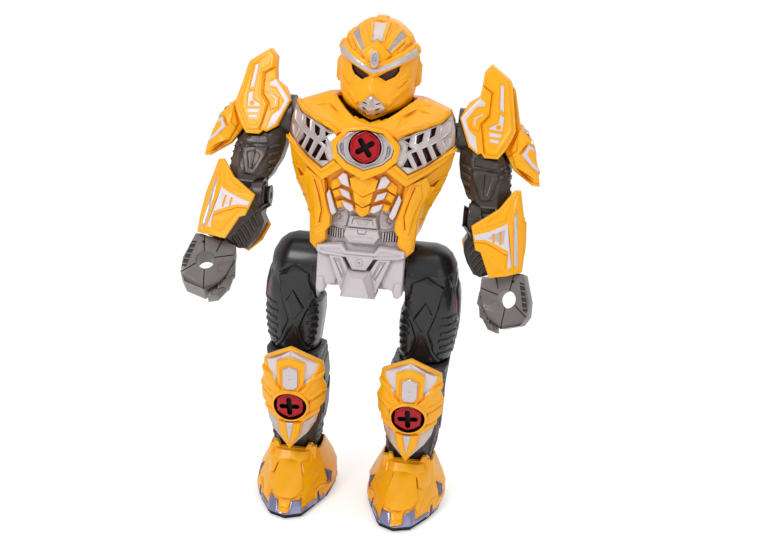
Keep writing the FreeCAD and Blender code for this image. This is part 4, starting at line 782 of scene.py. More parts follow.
# emblem: a surround with an opening, and a silver plate with a cup in it, painted dark as shade
# round the bolt
panel("emblem_surround", lambda x, z: -45.4 + 0.004 * x * x,
      sym("0 279.4, 12.7 277.2, 20.4 270.4, 23 266.9, 21.7 257.2, 13.5 250, 0 243.4"),
      holes=[sym("0 277, 11.2 275.2, 17.8 269, 19.3 265, 18 259.8, 11.9 254.1, 0 249.6")],
      high=1.1, bevel=0.9, sink=4, grid=2.6)
steps = [step(sym("0 275, 10.3 273.6, 16.2 268.2, 17.5 265, 16.3 260.6, 11 255.7, 0 251.6"),
              -0.5, 0.4)]
hollow = step("""13.4 270.6, 16.6 266.8, 16.9 264, 16 261, 12.9 258.2, 14 262.4,
              14.4 266.4""", -0.9, 0.4, "silver")
tab = step("14.9 266, 16.1 265.6, 15.9 262.6, 14.9 262", 0.9, 0.3, "silver")
steps += [other(hollow), other(tab), hollow, tab,
          roll(disc(0, EMBLEM_Z, 12.2, 40), 1.7, 0.7, "silver"),
          step(disc(0, EMBLEM_Z, 11.1, 40), 0, 0.4, "cup", margin=0.05, level=-2.8)]
panel("emblem_plate", -44.3,
      sym("0 276.6, 10.9 274.9, 17.4 268.8, 18.9 265, 17.6 260.1, 11.7 254.5, 0 250"), steps,
      mat="silver", high=0.5, bevel=0.3, sink=3.6, grid=2.2, replaces="emblem_bezel",
      slot="silver_paint")


# ------------------------------------------------------------------ turn bolts
def polar(radius, degrees):
    angle = math.radians(degrees)
    return radius * math.cos(angle), radius * math.sin(angle)


def cross(reach, half_width, turn):
    """Four round-ended arms, turned by degrees."""
    inner, centre = half_width * 0.95, reach - half_width
    arm_points = [(inner, -inner)]
    for j in range(8):
        angle = math.pi * j / 7
        arm_points.append((centre + half_width * math.sin(angle),
                           -half_width * math.cos(angle)))
    points = []
    for k in range(4):
        angle = math.radians(90 * k + turn)
        c, s = math.cos(angle), math.sin(angle)
        points += [(x * c - y * s, x * s + y * c) for x, y in arm_points]
    return points


def bolt(name, place, radius, turn, **more):
    """Red hexagonal bolt head with blunt corners and a cross slot, painted black as shade
    inside.
    """
    rim = [polar(radius if k % 2 == 0 else radius * 0.925, 90 + 30 * k) for k in range(12)]
    panel(name, 0, rim, [
        step([polar(radius * 0.9, 90 + 60 * k) for k in range(6)], 0.7, 0.6),
        step(cross(7.9, 2.5, turn), 0.25, 0.5, "red"),
        # cross slot and centre hole painted black: painted shade inside the recess
        step(cross(7.3, 1.9, turn), 0, 0.3, "black", margin=0.08, level=-2.3),
        step(disc(0, 0, 2.4, 18), 0, 0.3, "black", margin=0.08, level=-2.3)],
          mat="red", high=0, bevel=0.9, sink=3.6, grid=2.2, edge=-0.9, place=place,
          slot="red_plastic", **more)


def shin_bolt_place(side):
    guard_y = GUARD_Y - (SHIN_BOLT_Z - GUARD_Z) * GUARD_SLOPE
    on_left = (Matrix.Translation((LEG_X, guard_y - 2.5, SHIN_BOLT_Z))
               @ Matrix.Rotation(math.atan(GUARD_SLOPE), 4, "X"))
    # the right bolt is shifted, not mirrored, so its cross turns the same way
    shift = Matrix.Identity(4) if side > 0 else Matrix.Translation((-2 * LEG_X, 0, 0))
    return BASE @ shift @ on_left


bolt("chest_turn_bolt", lambda side: BASE @ Matrix.Translation((0, -45.9, EMBLEM_Z)),
     radius=11, turn=34, body="chest_bolt", replaces="chest_bolt")
bolt("shin_turn_bolt", shin_bolt_place, radius=10.3, turn=4, body="%s_shin_bolt",
     replaces="shin_bolt_%s")


# ------------------------------------------------------------------ abdomen
def abdomen_segment(number, front_y, mid_z, lean, outline, steps, **sizes):
    """Centre segment, wedge-shaped about x = 0 and leaning back downwards."""
    panel("abdomen_seg_%d" % number,
          lambda x, z: front_y + abs(x) * 0.35 - (z - mid_z) * lean,
          outline, steps, sink=5, grid=2, **sizes)


abdomen_segment(1, -41.4, 240, 0.10, """-9.6 243.5, -7.8 236.3, -1 232.4, 0 231.9, 1 232.4,
                7.8 236.3, 9.6 243.5, 4 246.4, -4 246.4""",
                [step(sym("0 244.5, 3.5 244, 7.6 240.5, 0 234.5"), 0.5, 0.5)], bevel=0.7)
abdomen_segment(2, -40.2, 230, 0.12,
                "-6.9 235.3, 0 231.4, 6.9 235.3, 5.1 227.5, 0 224.4, -5.1 227.5",
                [step(sym("0 229.6, 4.6 231.6, 3.6 228, 0 226"), 0.5, 0.5),
                 step(disc(0, 227.8, 0.9, 12), 0.6, 0.4)], bevel=0.7)
abdomen_segment(3, -39, 222, 0.12, """-5.1 226, 0 223.9, 5.1 226, 4 220.9, 2.4 218.7,
                0 217.8, -2.4 218.7, -4 220.9""",
                [step(sym("0 221.8, 3.2 223.6, 2.4 220.4, 0 219.3"), 0.5, 0.5)], high=0.5)

ABDOMEN_RIBS = ("14.2 247, 17.8 243.3, 14.9 239, 9.2 237.4, 11.6 245.8",
                "9.6 233.8, 16.1 236.1, 14.3 231.4, 8 228.8",
                "6.6 225.2, 13.9 227.8, 12.4 223.8, 8.2 220.9, 5.8 222")
ABDOMEN_LINKS = ("17.8 243.3, 22.5 240.2, 22 234, 17 236.2, 14.9 239",
                 "16.1 236.1, 21.4 233.2, 19.4 228.6, 14.3 231.4",
                 "13.9 227.8, 18.6 226.4, 17.2 221.8, 12.4 223.8")
for i, outline in enumerate(ABDOMEN_RIBS):
    panel("abdomen_rib_%d" % (i + 1), lambda x, z: -42.2 + abs(x) * 0.16 - (z - 232) * 0.04,
          outline, mat="white_ink", sink=5, grid=1.8, pair=True)
for i, outline in enumerate(ABDOMEN_LINKS):
    panel("abdomen_link_%d" % (i + 1), lambda x, z: -40.4 + abs(x) * 0.16 - (z - 232) * 0.04,
          scaled(outline, 0.94), [step(scaled(outline, 0.6), 0.4, 0.4)], bevel=0.5, sink=4,
          grid=1.8, pair=True)
panel("abdomen_strip", lambda x, z: -36.4 + (x - 20) * 0.3,
      "25.6 230.4, 23.7 234.4, 21.3 228, 18 219, 20.5 216.6, 22.4 219.6", mat="white_ink",
      high=0.5, bevel=0.4, sink=3, grid=1.8, pair=True)

# long blades beside the abdomen
BLADE = """27.5 240.5, 26.2 229.5, 22.4 217, 22.5 208.6, 25.2 204.6, 25 199.2, 31 190.9,
    35.4 195.6, 36.3 205.4, 36.9 216.5, 39.6 228, 44.5 238.5, 41 247, 33 243"""
BLADE_POINTS = """26 -34.6 240, 25.4 -33.6 229, 21.7 -33 217, 21.9 -32.4 208.4,
    24.6 -32 204.6, 24.4 -31.6 198.8, 31 -31.2 190.3, 36 -30 195.2, 36.9 -29.6 205.2,
    37.5 -28.8 216.5, 40.5 -27.6 228, 47 -25.6 240, 41 -30.5 247, 33 -36 243,
    30 -34.6 222, 30.5 -34.2 208, 30.6 -33.4 199, 33 -34 234"""
panel("chest_blade", Sheet(BLADE_POINTS, soft=0.6), BLADE, [
    step("""32.6 241, 30 230, 27 219.5, 28.6 209.5, 31.6 206, 32.4 212, 34.6 222, 38.6 233,
         37.6 242.2""", 0.7, 0.7),
    bar("23 216.6, 26.2 229, 29.6 240.4", 1.3, -0.5, 0.3),
    # groove painted orange: painted shade in the crease
    bar("33.6 240.5, 31 230.5, 28.4 219.5, 29.6 210.6", 0.75, -0.5, 0.25, "orange_line"),
    step("""25.4 206.6, 29.6 204, 30.2 196.4, 31.2 193.2, 34 196.6, 34.8 205,
         30.8 203.6""", 0.5, 0.6)],
      high=0.7, bevel=0.7, sink=2.6, pair=True)

# flank wall with four ribs, then four scales
FLANK = """40.6 246.4, 57.8 262, 55 251, 52.8 243, 49.4 234.6, 45.4 226.4, 41.6 218.6,
    38.4 210, 34.6 205.6, 34.4 216.5, 36.6 228, 40.8 238.5"""
FLANK_POINTS = """40.6 -26 246.4, 57.8 -9.5 262, 55 -13 251, 52.8 -14 243, 49.4 -16 234.6,
    45.4 -15 226.4, 41.6 -16.5 218.6, 38.4 -18 210, 34 -24 205, 34 -25.4 216.5,
    36 -25.4 228, 40 -25.6 238.5"""
FLANK_RIBS = ("41 240, 47 244.6, 54.6 247", "38.6 231, 44 234.6, 50.6 236.6",
              "36.4 221, 41 224.4, 46.4 226", "35.4 212.6, 38.4 215, 42.4 216.4")
FLANK_SCALES = ("41.6 246.4, 56.2 259.2, 54.4 251.4, 45.8 240.4",
                "45.6 239.6, 54 250.2, 52.2 243.2, 44.6 232.6",
                "44 231.6, 51.6 241.6, 48.6 235, 42.6 226",
                "42 225, 47.8 233.4, 44.8 226.8, 40.6 219.4")
panel("flank_wall", Sheet(FLANK_POINTS, soft=0.6), FLANK,
      [rib(line, 1.6, 0.9, 0.7) for line in FLANK_RIBS], high=0.4, sink=2.4, pair=True)
for i, outline in enumerate(FLANK_SCALES):
    panel("flank_scale_%d" % (i + 1), Scan("chest_front_shell", 1.5), outline,
          [step(scaled(outline, 0.62), 0.5, 0.5)], high=0.9, sink=1.2, pair=True)

# ------------------------------------------------------------------ head shape
# rows: z, y of the centre, half section front to back as "x y, ..."
HEAD_ROWS = (
    (281, -17, "0 -24.6, 5.5 -22.5, 7 -20, 7 -16, 6 -12, 4 -10, 0 -9"),
    (285.5, -8, "0 -26.2, 9 -22, 13.5 -16, 14.5 -8, 13 0, 8 6, 0 8"),
    (291, 0, "0 -27, 10.5 -23, 19.5 -13, 22 0, 20 14, 12 22, 0 25"),
    (297, 5, "0 -27, 11.5 -23, 21.5 -13, 25 2, 23 18, 13 29, 0 32"),
    (305, 6, "0 -25.5, 12.5 -22, 22.5 -13, 26.8 4, 24.5 20, 14 32, 0 35"),
    (314, 6, "0 -24.8, 13 -21.5, 23.5 -12, 28 5, 25.5 22, 14.5 33, 0 36"),
    (323, 6, "0 -24, 12.5 -20.6, 22.5 -11, 27.4 6, 25 22, 14.5 33, 0 36"),
    (332, 7, "0 -19.8, 11.5 -16.6, 20 -8, 24.6 7, 22.5 22, 13 31, 0 34"),
    (340, 9, "0 -13, 9.5 -10.5, 15.5 -3, 19.6 8, 18 20, 11 27, 0 30"),
    (346, 10.5, "0 -4.5, 7.5 -3, 11 2, 13 9, 12 18, 8 23, 0 25"),
    (349.3, 11, "0 3, 4 3.5, 5.5 6, 6.5 10, 6 15, 4 18, 0 19"))
HEAD_ANGLES = 72
HEAD_ACROSS = 26.0                       # across coordinate of a head plate per radian
QUARTER = math.pi / 2 * HEAD_ACROSS      # a quarter of the way round
HEAD_TOP = 348.6


def section_radii(half, centre_y):
    """Smoothed distance from the centre to the section, at even angles from the front."""
    half = pts(half)
    section = half + [(-x, y) for x, y in reversed(half) if x > 0]
    radii = []
    for k in range(HEAD_ANGLES):
        angle = 2 * math.pi * k / HEAD_ANGLES
        dx, dy = math.sin(angle), -math.cos(angle)
        best = 0
        for i, (ax, ay) in enumerate(section):
            bx, by = section[(i + 1) % len(section)]
            edge_x, edge_y = bx - ax, by - ay
            det = dx * edge_y - dy * edge_x
            if abs(det) < 1e-12:
                continue
            radius = (ax * edge_y - (ay - centre_y) * edge_x) / det
            along = (ax * dy - (ay - centre_y) * dx) / det
            if -1e-9 <= along <= 1 + 1e-9 and radius > 0:
                best = max(best, radius)
        radii.append(best)
    radii = np.array(radii)
    for _ in range(3):
        radii = 0.25 * np.roll(radii, 1) + 0.5 * radii + 0.25 * np.roll(radii, -1)
    return radii


HEAD_Z = np.array([float(row[0]) for row in HEAD_ROWS])
HEAD_CENTRE_Y = np.array([float(row[1]) for row in HEAD_ROWS])
HEAD_RADII = np.array([section_radii(half, centre_y) for _, centre_y, half in HEAD_ROWS])


def head_radius(angle, z):
    """Radius and centre y at an angle from the front, by a cubic up the rows."""
    last = len(HEAD_Z) - 1
    z = np.clip(z, HEAD_Z[0], HEAD_Z[-1])
    i = np.clip(np.searchsorted(HEAD_Z, z) - 1, 0, last - 1)
    t = (z - HEAD_Z[i]) / (HEAD_Z[i + 1] - HEAD_Z[i])
    turn = (np.asarray(angle) / (2 * math.pi) * HEAD_ANGLES) % HEAD_ANGLES
    low = np.floor(turn).astype(int)
    share = turn - low

    def row(j):
        j = np.clip(j, 0, last)
        return (HEAD_RADII[j, low % HEAD_ANGLES] * (1 - share)
                + HEAD_RADII[j, (low + 1) % HEAD_ANGLES] * share)

    below, start, end, above = row(i - 1), row(i), row(i + 1), row(i + 2)
    gap = HEAD_Z[i + 1] - HEAD_Z[i]
    gap_below = HEAD_Z[np.clip(i, 1, None)] - HEAD_Z[np.clip(i - 1, 0, None)] + 1e-9
    gap_above = (HEAD_Z[np.clip(i + 2, None, last)]
                 - HEAD_Z[np.clip(i + 1, None, last)] + 1e-9)
    slope = (end - start) / gap
    slope_in = np.where(i > 0, ((start - below) / gap_below + slope) / 2, slope)
    slope_out = np.where(i < last - 1, (slope + (above - end) / gap_above) / 2, slope)
    t2, t3 = t * t, t * t * t
    radius = ((2 * t3 - 3 * t2 + 1) * start + (t3 - 2 * t2 + t) * gap * slope_in
              + (-2 * t3 + 3 * t2) * end + (t3 - t2) * gap * slope_out)
    return radius, np.interp(z, HEAD_Z, HEAD_CENTRE_Y)


def head_wrap(across, z, height):
    """Points at a height over the head; plates draw in below z = 290."""
    angle = np.asarray(across) / HEAD_ACROSS
    z = np.asarray(z, float)

    def point(angle, z):
        radius, centre_y = head_radius(angle, z)
        return np.stack([radius * np.sin(angle), centre_y - radius * np.cos(angle), z], 1)

    da, dz = 0.04, 0.6
    low, high = (np.clip(z + d, HEAD_Z[0], HEAD_Z[-1]) for d in (-dz, dz))
    normal = np.cross(point(angle + da, z) - point(angle - da, z),
                      point(angle, high) - point(angle, low))
    normal = normal / np.maximum(np.linalg.norm(normal, axis=1)[:, None], 1e-9)
    outward = np.stack([np.sin(angle), -np.cos(angle), 0 * angle], 1)
    sign = np.sign((normal * outward).sum(1))[:, None]
    sign[sign == 0] = 1
    height = np.asarray(height, float) - 1.9 * np.clip((290.0 - z) / 5.0, 0, 1)
    return point(angle, z) + normal * sign * height[:, None]


def head_across(x, z):
    """Across coordinate of the head point seen at x, z from the front."""
    angle = 0.0
    for _ in range(30):
        radius = max(float(head_radius(np.array([angle]), np.array([z]))[0][0]), 1e-3)
        angle = 0.5 * angle + 0.5 * math.asin(max(-0.999, min(0.999, x / radius)))
    return angle * HEAD_ACROSS


def wrapped(outline, parts=3):
    """Front-view outline in head plate coordinates, each edge cut into parts."""
    outline = pts(outline)
    points = []
    for i, (ax, az) in enumerate(outline):
        bx, bz = outline[(i + 1) % len(outline)]
        for k in range(parts):
            t = k / parts
            x, z = ax + (bx - ax) * t, az + (bz - az) * t
            points.append((head_across(x, z), z))
    return points


def wrapped_sym(half):
    """Wrapped whole outline from a half that starts and ends at x = 0."""
    half = pts(half)
    right = wrapped(half)[:3 * (len(half) - 1) + 1]
    return right + flip(reversed(right[1:-1]))


# ------------------------------------------------------------------ face plate and helmet
steps = [
    # brow roll, with the silver V band on it
    roll(wrapped_sym("""0 319, 2.6 319.8, 10 323.6, 17.6 328.2, 22.4 333, 26 330,
                     25.6 323.4, 18.4 318.2, 10 314, 0 309.4"""), 2, 1.6),
    step(wrapped_sym("""0 315.2, 2.6 316.2, 10 319.9, 18 324.7, 23.6 329.4, 24.8 325,
                     18 320.4, 10 316.2, 0 311.9"""), 0.35, 0.35, "silver"),
    # forehead pentagon
    step(wrapped("0.2 334.6, 10.9 324.6, 4.4 318.4, 0.2 316.4, -4.4 318.4, -10.5 325.6", 2),
         2.2, 1.3),
    roll(wrapped("0.2 331.4, 7.2 324.6, 3.4 319.8, 0.2 318.2, -3.4 319.8, -7 325.2", 2),
         0.9, 1.2),
    # silver inlays of the crown
    step(wrapped("-6.6 346, 7 346, 5.4 332.4, -5.2 332.4", 2), 0.9, 0.7),
    step(wrapped("-4 344.4, 4.6 344.4, 3.4 332.6, -3.4 332.6", 2), -0.35, 0.35,
         "silver_warm", margin=0.05),
    *both(step(wrapped("12.6 342, 20.2 336.4, 10.4 325.2, 6 328.4"), 0.7, 0.6)),
    *both(step(wrapped("13.8 340.4, 17.8 337.2, 9.2 326, 7.6 327.8"), -0.3, 0.35,
               "silver_warm", margin=0.05)),
    *both(step(wrapped("17.4 333.6, 20.6 331.6, 15 326.6, 12.4 327.6", 2), -0.45, 0.6)),
    # hollows and ridges of the helmet
    *both(step(wrapped("9 345.6, 12.4 344, 7.6 335, 6.2 336.4", 2), -0.5, 0.7)),
    *both(roll(wrapped("19.6 341, 23 336, 15.6 326, 12.8 327.2, 18.4 334.6", 2), 1.1, 1.3)),
    *both(roll("24 342, 31 340, 38 330, 38 322, 30 331, 26 337", 1.3, 1.6)),
    roll("-9 349.4, 9.6 349.4, 8.6 344.8, -8 344.8", 1.2, 1.6),
    # hollow round each eye
    *both(roll(wrapped("""0.8 311.6, 10.8 316.2, 20 321.2, 22 313.6, 17 308.6, 9 305.4,
                       3 308.2"""), -0.9, 1.6)),
    # nose and cheeks
    step(wrapped("""0 310.6, 2.6 308, 5.6 303.4, 3 298.2, -3 298.2, -5.6 303.4,
                 -2.6 308""", 2), 0.8, 1.8),
    *both(step(wrapped("""23.6 311.2, 25.4 306, 18.4 299.2, 10.2 290.8, 8.6 293.4,
                       15.6 301.4, 19.4 306"""), 1.1, 0.9)),
    *both(step(wrapped("24.2 303.4, 24 297.4, 17.2 290.8, 10.4 286.2, 10.6 288.8, 18.6 297"),
               0.5, 0.8)),
    *both(step(wrapped("14.6 305.6, 19.6 309.8, 22.4 309.4, 16.4 303.2", 2), 0.6, 0.6))]
eye = wrapped("3.2 310.6, 10 314.8, 17.4 318.8, 17 314.4, 14.6 311, 8.4 307.8")


def top_edge(start, width):
    return [(start + width * k / 12, HEAD_TOP) for k in range(13)]


# lower edge of the face: share of a quarter turn, z
JAW = [(1, 285.8), (0.75, 284.6), (0.5, 283.4), (0.25, 281.6)]
jaw = [(QUARTER * share, z) for share, z in JAW]
face = (flip(jaw[:1]) + top_edge(-QUARTER, 2 * QUARTER) + jaw + [(0, 280.9)]
        + flip(reversed(jaw[1:])))
head("face_plate", None, face, steps, holes=[eye, flip(eye)], wrap=head_wrap, high=0.2,
     bevel=0.5, sink=1.8, grid=2.1, edge=-0.1, sharp=38, replaces="face_mask",
     slot="yellow_plastic")


def behind(outline, side=1):
    """Outline drawn about the middle of the back of the head."""
    return [(2 * QUARTER + side * x, z) for x, z in pts(outline)]


steps = [step(behind("-6 347.6, 6 347.6, 4.2 318, 3 300, -3 300, -4.2 318"), 1.6, 1.2)]
for side in (1, -1):
    steps += [step(behind("11 345, 18 343, 20 322, 15 306, 10 318", side), 1, 1),
              step(behind("9 300, 30 304, 30 300.6, 9 296", side), -0.7, 0.5),
              step(behind("9 294.6, 28 298, 28 294.6, 9 291", side), -0.7, 0.5)]
SEAM, REAR_FOOT = 0.5, 286.4
rear = ([(QUARTER + SEAM, REAR_FOOT)] + top_edge(QUARTER + SEAM, 2 * QUARTER - 2 * SEAM)
        + [(3 * QUARTER - SEAM, REAR_FOOT)])
head("helmet_rear", None, rear, steps, wrap=head_wrap, high=0.2, bevel=0.5, sink=1.8,
     grid=2.6, sharp=38, replaces="helmet_back", slot="yellow_plastic")

# cap that closes the top, with a central ridge
head("crown_cap", lambda x, y: -349.0 + 0.012 * (x * x + (y - 11) ** 2),
     top_disc(10.8, 6.9, 8.4, 20), [roll("-4.8 1, 4.8 1, 4.2 20, -4.2 20", 1.3, 1.8)],
     high=0.25, bevel=0.8, sink=2.2, grid=2, axis="top", edge=-0.3)
EAR = "1 304, 12.5 304, 16 308, 16.6 315, 14 321.6, 3 321.6, -0.6 316, -1 309"
head("ear_cover", lambda y, z: -26.6 + 0.02 * (y - 7) ** 2, EAR,
     [roll(scaled(EAR, 0.78), 0.8, 0.9), step(scaled(EAR, 0.5), -0.6, 0.5)],
     high=2.2, bevel=1.2, sink=4, grid=2.2, axis="out", pair=True, rounds=3)

# mouth guard with three rows of slanted slots, painted black as shade inside them
MOUTH = """0 298.4, 4.9 294.9, 9.6 290.2, 7.2 286.9, 2.2 284.4, -2.2 284.4, -7.2 286.9,
    -9.6 290.2, -4.9 294.9"""
MOUTH_POINTS = """0 -27.4 299, 0 -29 294.2, 4.9 -26.8 295.2, 10 -24.2 289.7,
    7.3 -24.4 285.8, 0 -25 283, -7.3 -24.4 285.8, -10 -24.2 289.7, -4.9 -26.8 295.2,
    2.6 -29 289.6, -2.6 -29 289.6, 0 -28.2 286"""
steps = []
for z in (293.0, 289.7, 286.5):
    for slot in ([(-5.6, z + 0.5), (-3, z - 0.3), (-3, z - 1.1), (-5.6, z - 0.3)],
                 [(2.9, z - 0.3), (5.6, z + 0.5), (5.6, z - 0.3), (2.9, z - 1.1)]):
        steps.append(step(slot, 0, 0.2, "black", margin=0.02, level=-0.5))
head("mouth_guard", Sheet(MOUTH_POINTS, soft=0.7), MOUTH,
     steps + [step(disc(0.1, 294.8, 0.9, 12), 0.5, 0.4)], mat="silver_warm", high=0.5,
     bevel=0.5, sink=3, grid=1.6, replaces="mouth_plate", slot="silver_paint")
JEWEL_X, JEWEL_Z = 0.2, 321.8
head("brow_jewel", lambda x, z: -27.4 - (JEWEL_Z - z) * 0.07,
     disc(JEWEL_X, JEWEL_Z, 3, 26, 5.6),
     [step(disc(JEWEL_X, JEWEL_Z, 1.9, 24, 4.2), -0.6, 0.5),
      step(disc(JEWEL_X, JEWEL_Z, 0.9, 16, 1.6), 0.7, 0.5)],
     mat="silver", high=0.9, bevel=0.8, sink=3, grid=1.4, rounds=3,
     replaces="forehead_jewel", slot="silver_paint")

# ------------------------------------------------------------------ shoulder pad
PAD = """77.5 322.6, 84.4 317.8, 91 313, 92.3 310.5, 97.4 281.4, 95.2 275.5, 91.5 268.6,
    87.2 262.8, 78 262.8, 75.4 265.6, 73 264.6, 66.4 269.2, 58.9 287, 64 296.4, 70.9 301,
    72.2 309.5, 72.7 317.4"""
HOOK = """75.4 297.9, 71 300.8, 59.6 287.2, 67.4 270.2, 72.9 265.9, 70.6 276, 65.5 280,
    63 286.3, 69.6 295.2, 74.7 296.1"""
PAD_SLOT = "84.3 310.4, 86.6 309.8, 88.3 292.5, 85.3 294.8"
arm("pad_shell", lambda x, z: PAD_Y - PAD_SLOPE * (PAD_Z - z), PAD, [
    # raised panel and the hollow in it
    step("""77.6 321.4, 84.2 316.9, 90.2 312, 95.9 281.2, 93.4 275.6, 86.6 264.6,
         78.4 264.6, 76 269.6, 74.4 283.6, 79 289.2, 79.6 304.2, 73.2 307.6, 73.4 317""",
         1.7, 1.5),
    step("""78.4 317.6, 83.8 313.9, 89.2 309, 93.4 282.8, 91.4 277.6, 85.6 267.4,
         79.8 267.4, 78 271.2, 76.8 283, 81.4 288.6, 82 306, 76 309.2, 75.6 315""",
         -0.45, 0.8),
    # hook on the inner edge
    step(inset(HOOK, -1), 0.5, 0.8), step(HOOK, 0.25, 0.4, "white_ink"),
    step("77.6 292, 66.8 288.6, 66.2 281.4, 72.6 278.8, 73.6 284.6, 78.2 289", 0.9, 0.9),
    bar("74.4 290.9, 69 287.4, 69.2 282.9", 1.1, 0.25, 0.25, "white_ink"),
    # inlays in the hollow, top to bottom
    step(inset(PAD_SLOT, -0.8), -0.5, 0.5), step(PAD_SLOT, 0.25, 0.3, "white_ink"),
    step(inset("88.9 289.6, 85.6 291.6, 85 285.6, 79 282.3, 79.3 280.9, 88.4 280.3", -0.8),
         -0.45, 0.5),
    step("88.9 289.6, 85.8 291.4, 85.4 285.6, 79.2 282.3, 79.5 281.1, 88.3 280.5",
         0.25, 0.3, "white_ink"),
    step(disc(85.5, 283, 1.8, 20), 0.3, 0.4, "yellow"),
    step(disc(85.5, 283, 0.9, 14), -0.4, 0.3, "yellow"),
    step("88 278.5, 79.4 279.2, 80 276.7, 87.7 276.2", 0.25, 0.3, "white_ink"),
    step("86.8 274.6, 80.1 275.1, 80.8 273, 86.4 272.6", 0.25, 0.3, "white_ink"),
    step("85 271, 81.2 271.3, 81.8 269.8, 84.6 269.6", 0.25, 0.3, "yellow"),
    bar("72.4 309.2, 79 304.8, 78.6 289.9, 73.8 284, 77.6 265.2", 0.8, -0.7)],
    bevel=1.4, sink=8.4, grid=2.6, rounds=3, replaces="shoulder_pad_%s",
    slot="yellow_plastic")

# wing behind the pad
WING = """86 309, 93.6 308, 95 305.5, 100 284.6, 102 283.6, 103.6 281.4, 106.2 279.6,
    107.4 276.6, 109.9 273.6, 111.4 270, 112.8 266, 113.6 259.5, 116.6 253.6, 115.8 251.6,
    117.4 244.6, 112.4 245.2, 98.5 254.6, 90 268"""
WING_POINTS = """86 9.5 311, 95 9.6 306, 92 -5 264, 104 -13 247, 100.6 -5.4 277,
    102.3 -7.6 269, 106.6 -12.6 251, 117 -8 247.5, 113.6 -3.5 260, 107.8 0.5 276,
    101 2 284, 88 0 275"""
WING_LOOP = "106 271.6, 102.8 265.6, 108.6 258.2, 115.6 252.6, 114.4 260, 111.4 268.6"
arm("wing_shell", Sheet(WING_POINTS, soft=0.8), WING, [
    roll("""100.6 282, 108.4 275, 113.2 262, 116 253, 116 246.8, 112 247.4, 99.6 256.4,
         95 268""", 1.4, 1.4),
    step(inset(WING_LOOP, -1.3), -0.5, 0.6),
    step(WING_LOOP, 0.6, 0.35, "white_ink"),
    step(inset(WING_LOOP, 1.9), 0.7, 0.6, "yellow", margin=-0.1),
    # silver teeth along the edge
    step("103.6 280.6, 106.4 278.6, 107 275.8, 104.2 277.2", 0.9, 0.7, "silver"),
    step("107.4 276, 109.9 273, 110.4 269.4, 107.4 271.6", 0.9, 0.7, "silver"),
    step("101.2 283.6, 103.4 282, 103.6 278.8, 101.2 279.6", 0.9, 0.7, "silver"),
    bar("94 262.6, 100.2 268.4, 99.4 280", 0.8, -0.5, 0.3)],
    high=0.8, bevel=0.9, sink=4.2, grid=2.2, replaces="shoulder_wing_%s",
    slot="yellow_plastic")

# ------------------------------------------------------------------ forearm guard
FOREARM_LEAN = 0.5306


def forearm_guard_depth(x, z):
    """A leaning plane, folded back outside x = 100.5."""
    return 0.0968 * x + FOREARM_LEAN * z - 159.67 + 0.75 * max(0.0, x - 100.5)


FOREARM_GUARD = """100.2 243.8, 96 238.6, 91 232.2, 73.7 221.1, 77.7 207, 81.4 205.8,
    88.6 190.8, 100.4 192.4, 110.4 192.8, 111 204, 110 220, 107.2 232, 104.8 243.2"""
forearm("guard_shell", forearm_guard_depth, FOREARM_GUARD, [
    step("99.6 240, 92.4 230.2, 84.4 224.6, 75.6 219, 86 221.4, 96.6 225.8", 1, 1),
    step("100.2 206.4, 98.8 196, 92 194.2, 84.4 206.6, 80.6 210, 88 209.6", 0.9, 1.1),
    step("98.2 202.6, 97.2 196.8, 93 195.6, 87.6 204.8", -0.35, 0.6),
    step("""101.6 241.6, 104 241.6, 106.2 231.2, 108.6 219.4, 109.6 203.4, 109.2 194.4,
         105.6 194.4, 103.6 215, 99.2 226.8""", 0.8, 0.9),
    step(inset("103 231, 100.9 227.6, 104.4 197.4, 106.9 196.9", -0.7), -0.5, 0.5),
    step("103 231, 101.1 227.6, 104.6 197.6, 106.7 197.1", 0.25, 0.3, "silver"),
    step("""97.8 224.4, 95.4 222.6, 85.3 218.3, 75.8 215.7, 77 213, 84 213.3, 91.6 210.6,
         99.2 207.4, 100.4 196.9, 102.6 197.2""", 0.35, 0.4, "white_ink"),
    step("96.6 220.6, 96.2 211.4, 84.6 214.4", 0, 0.4, "silver"),
    bar("93.4 218.6, 94.2 210.8", 1.5, -0.4, 0.3, "yellow", margin=0.05),
    bar("88.8 217.4, 89.4 211.8", 1.5, -0.4, 0.3, "yellow", margin=0.05),
    bar("76.4 211.4, 84.4 211.4, 99 204.4", 0.7, -0.5, 0.3)],
    high=0.8, bevel=0.9, sink=1.6, grid=2.3)


# ------------------------------------------------------------------ shin guard
def shin_guard_depth(x, z):
    """Leaning half round, with a keel on the middle below z = 66."""
    across = x - LEG_X
    squeeze = max(0.03, 1 - (across / 24.5) ** 2)
    keel = 1.6 * max(0.0, 1 - abs(across) / 9.0) if z < 66 else 0.0
    return (GUARD_Y - (z - GUARD_Z) * GUARD_SLOPE + 23.0 * (1 - math.sqrt(squeeze)) - keel)


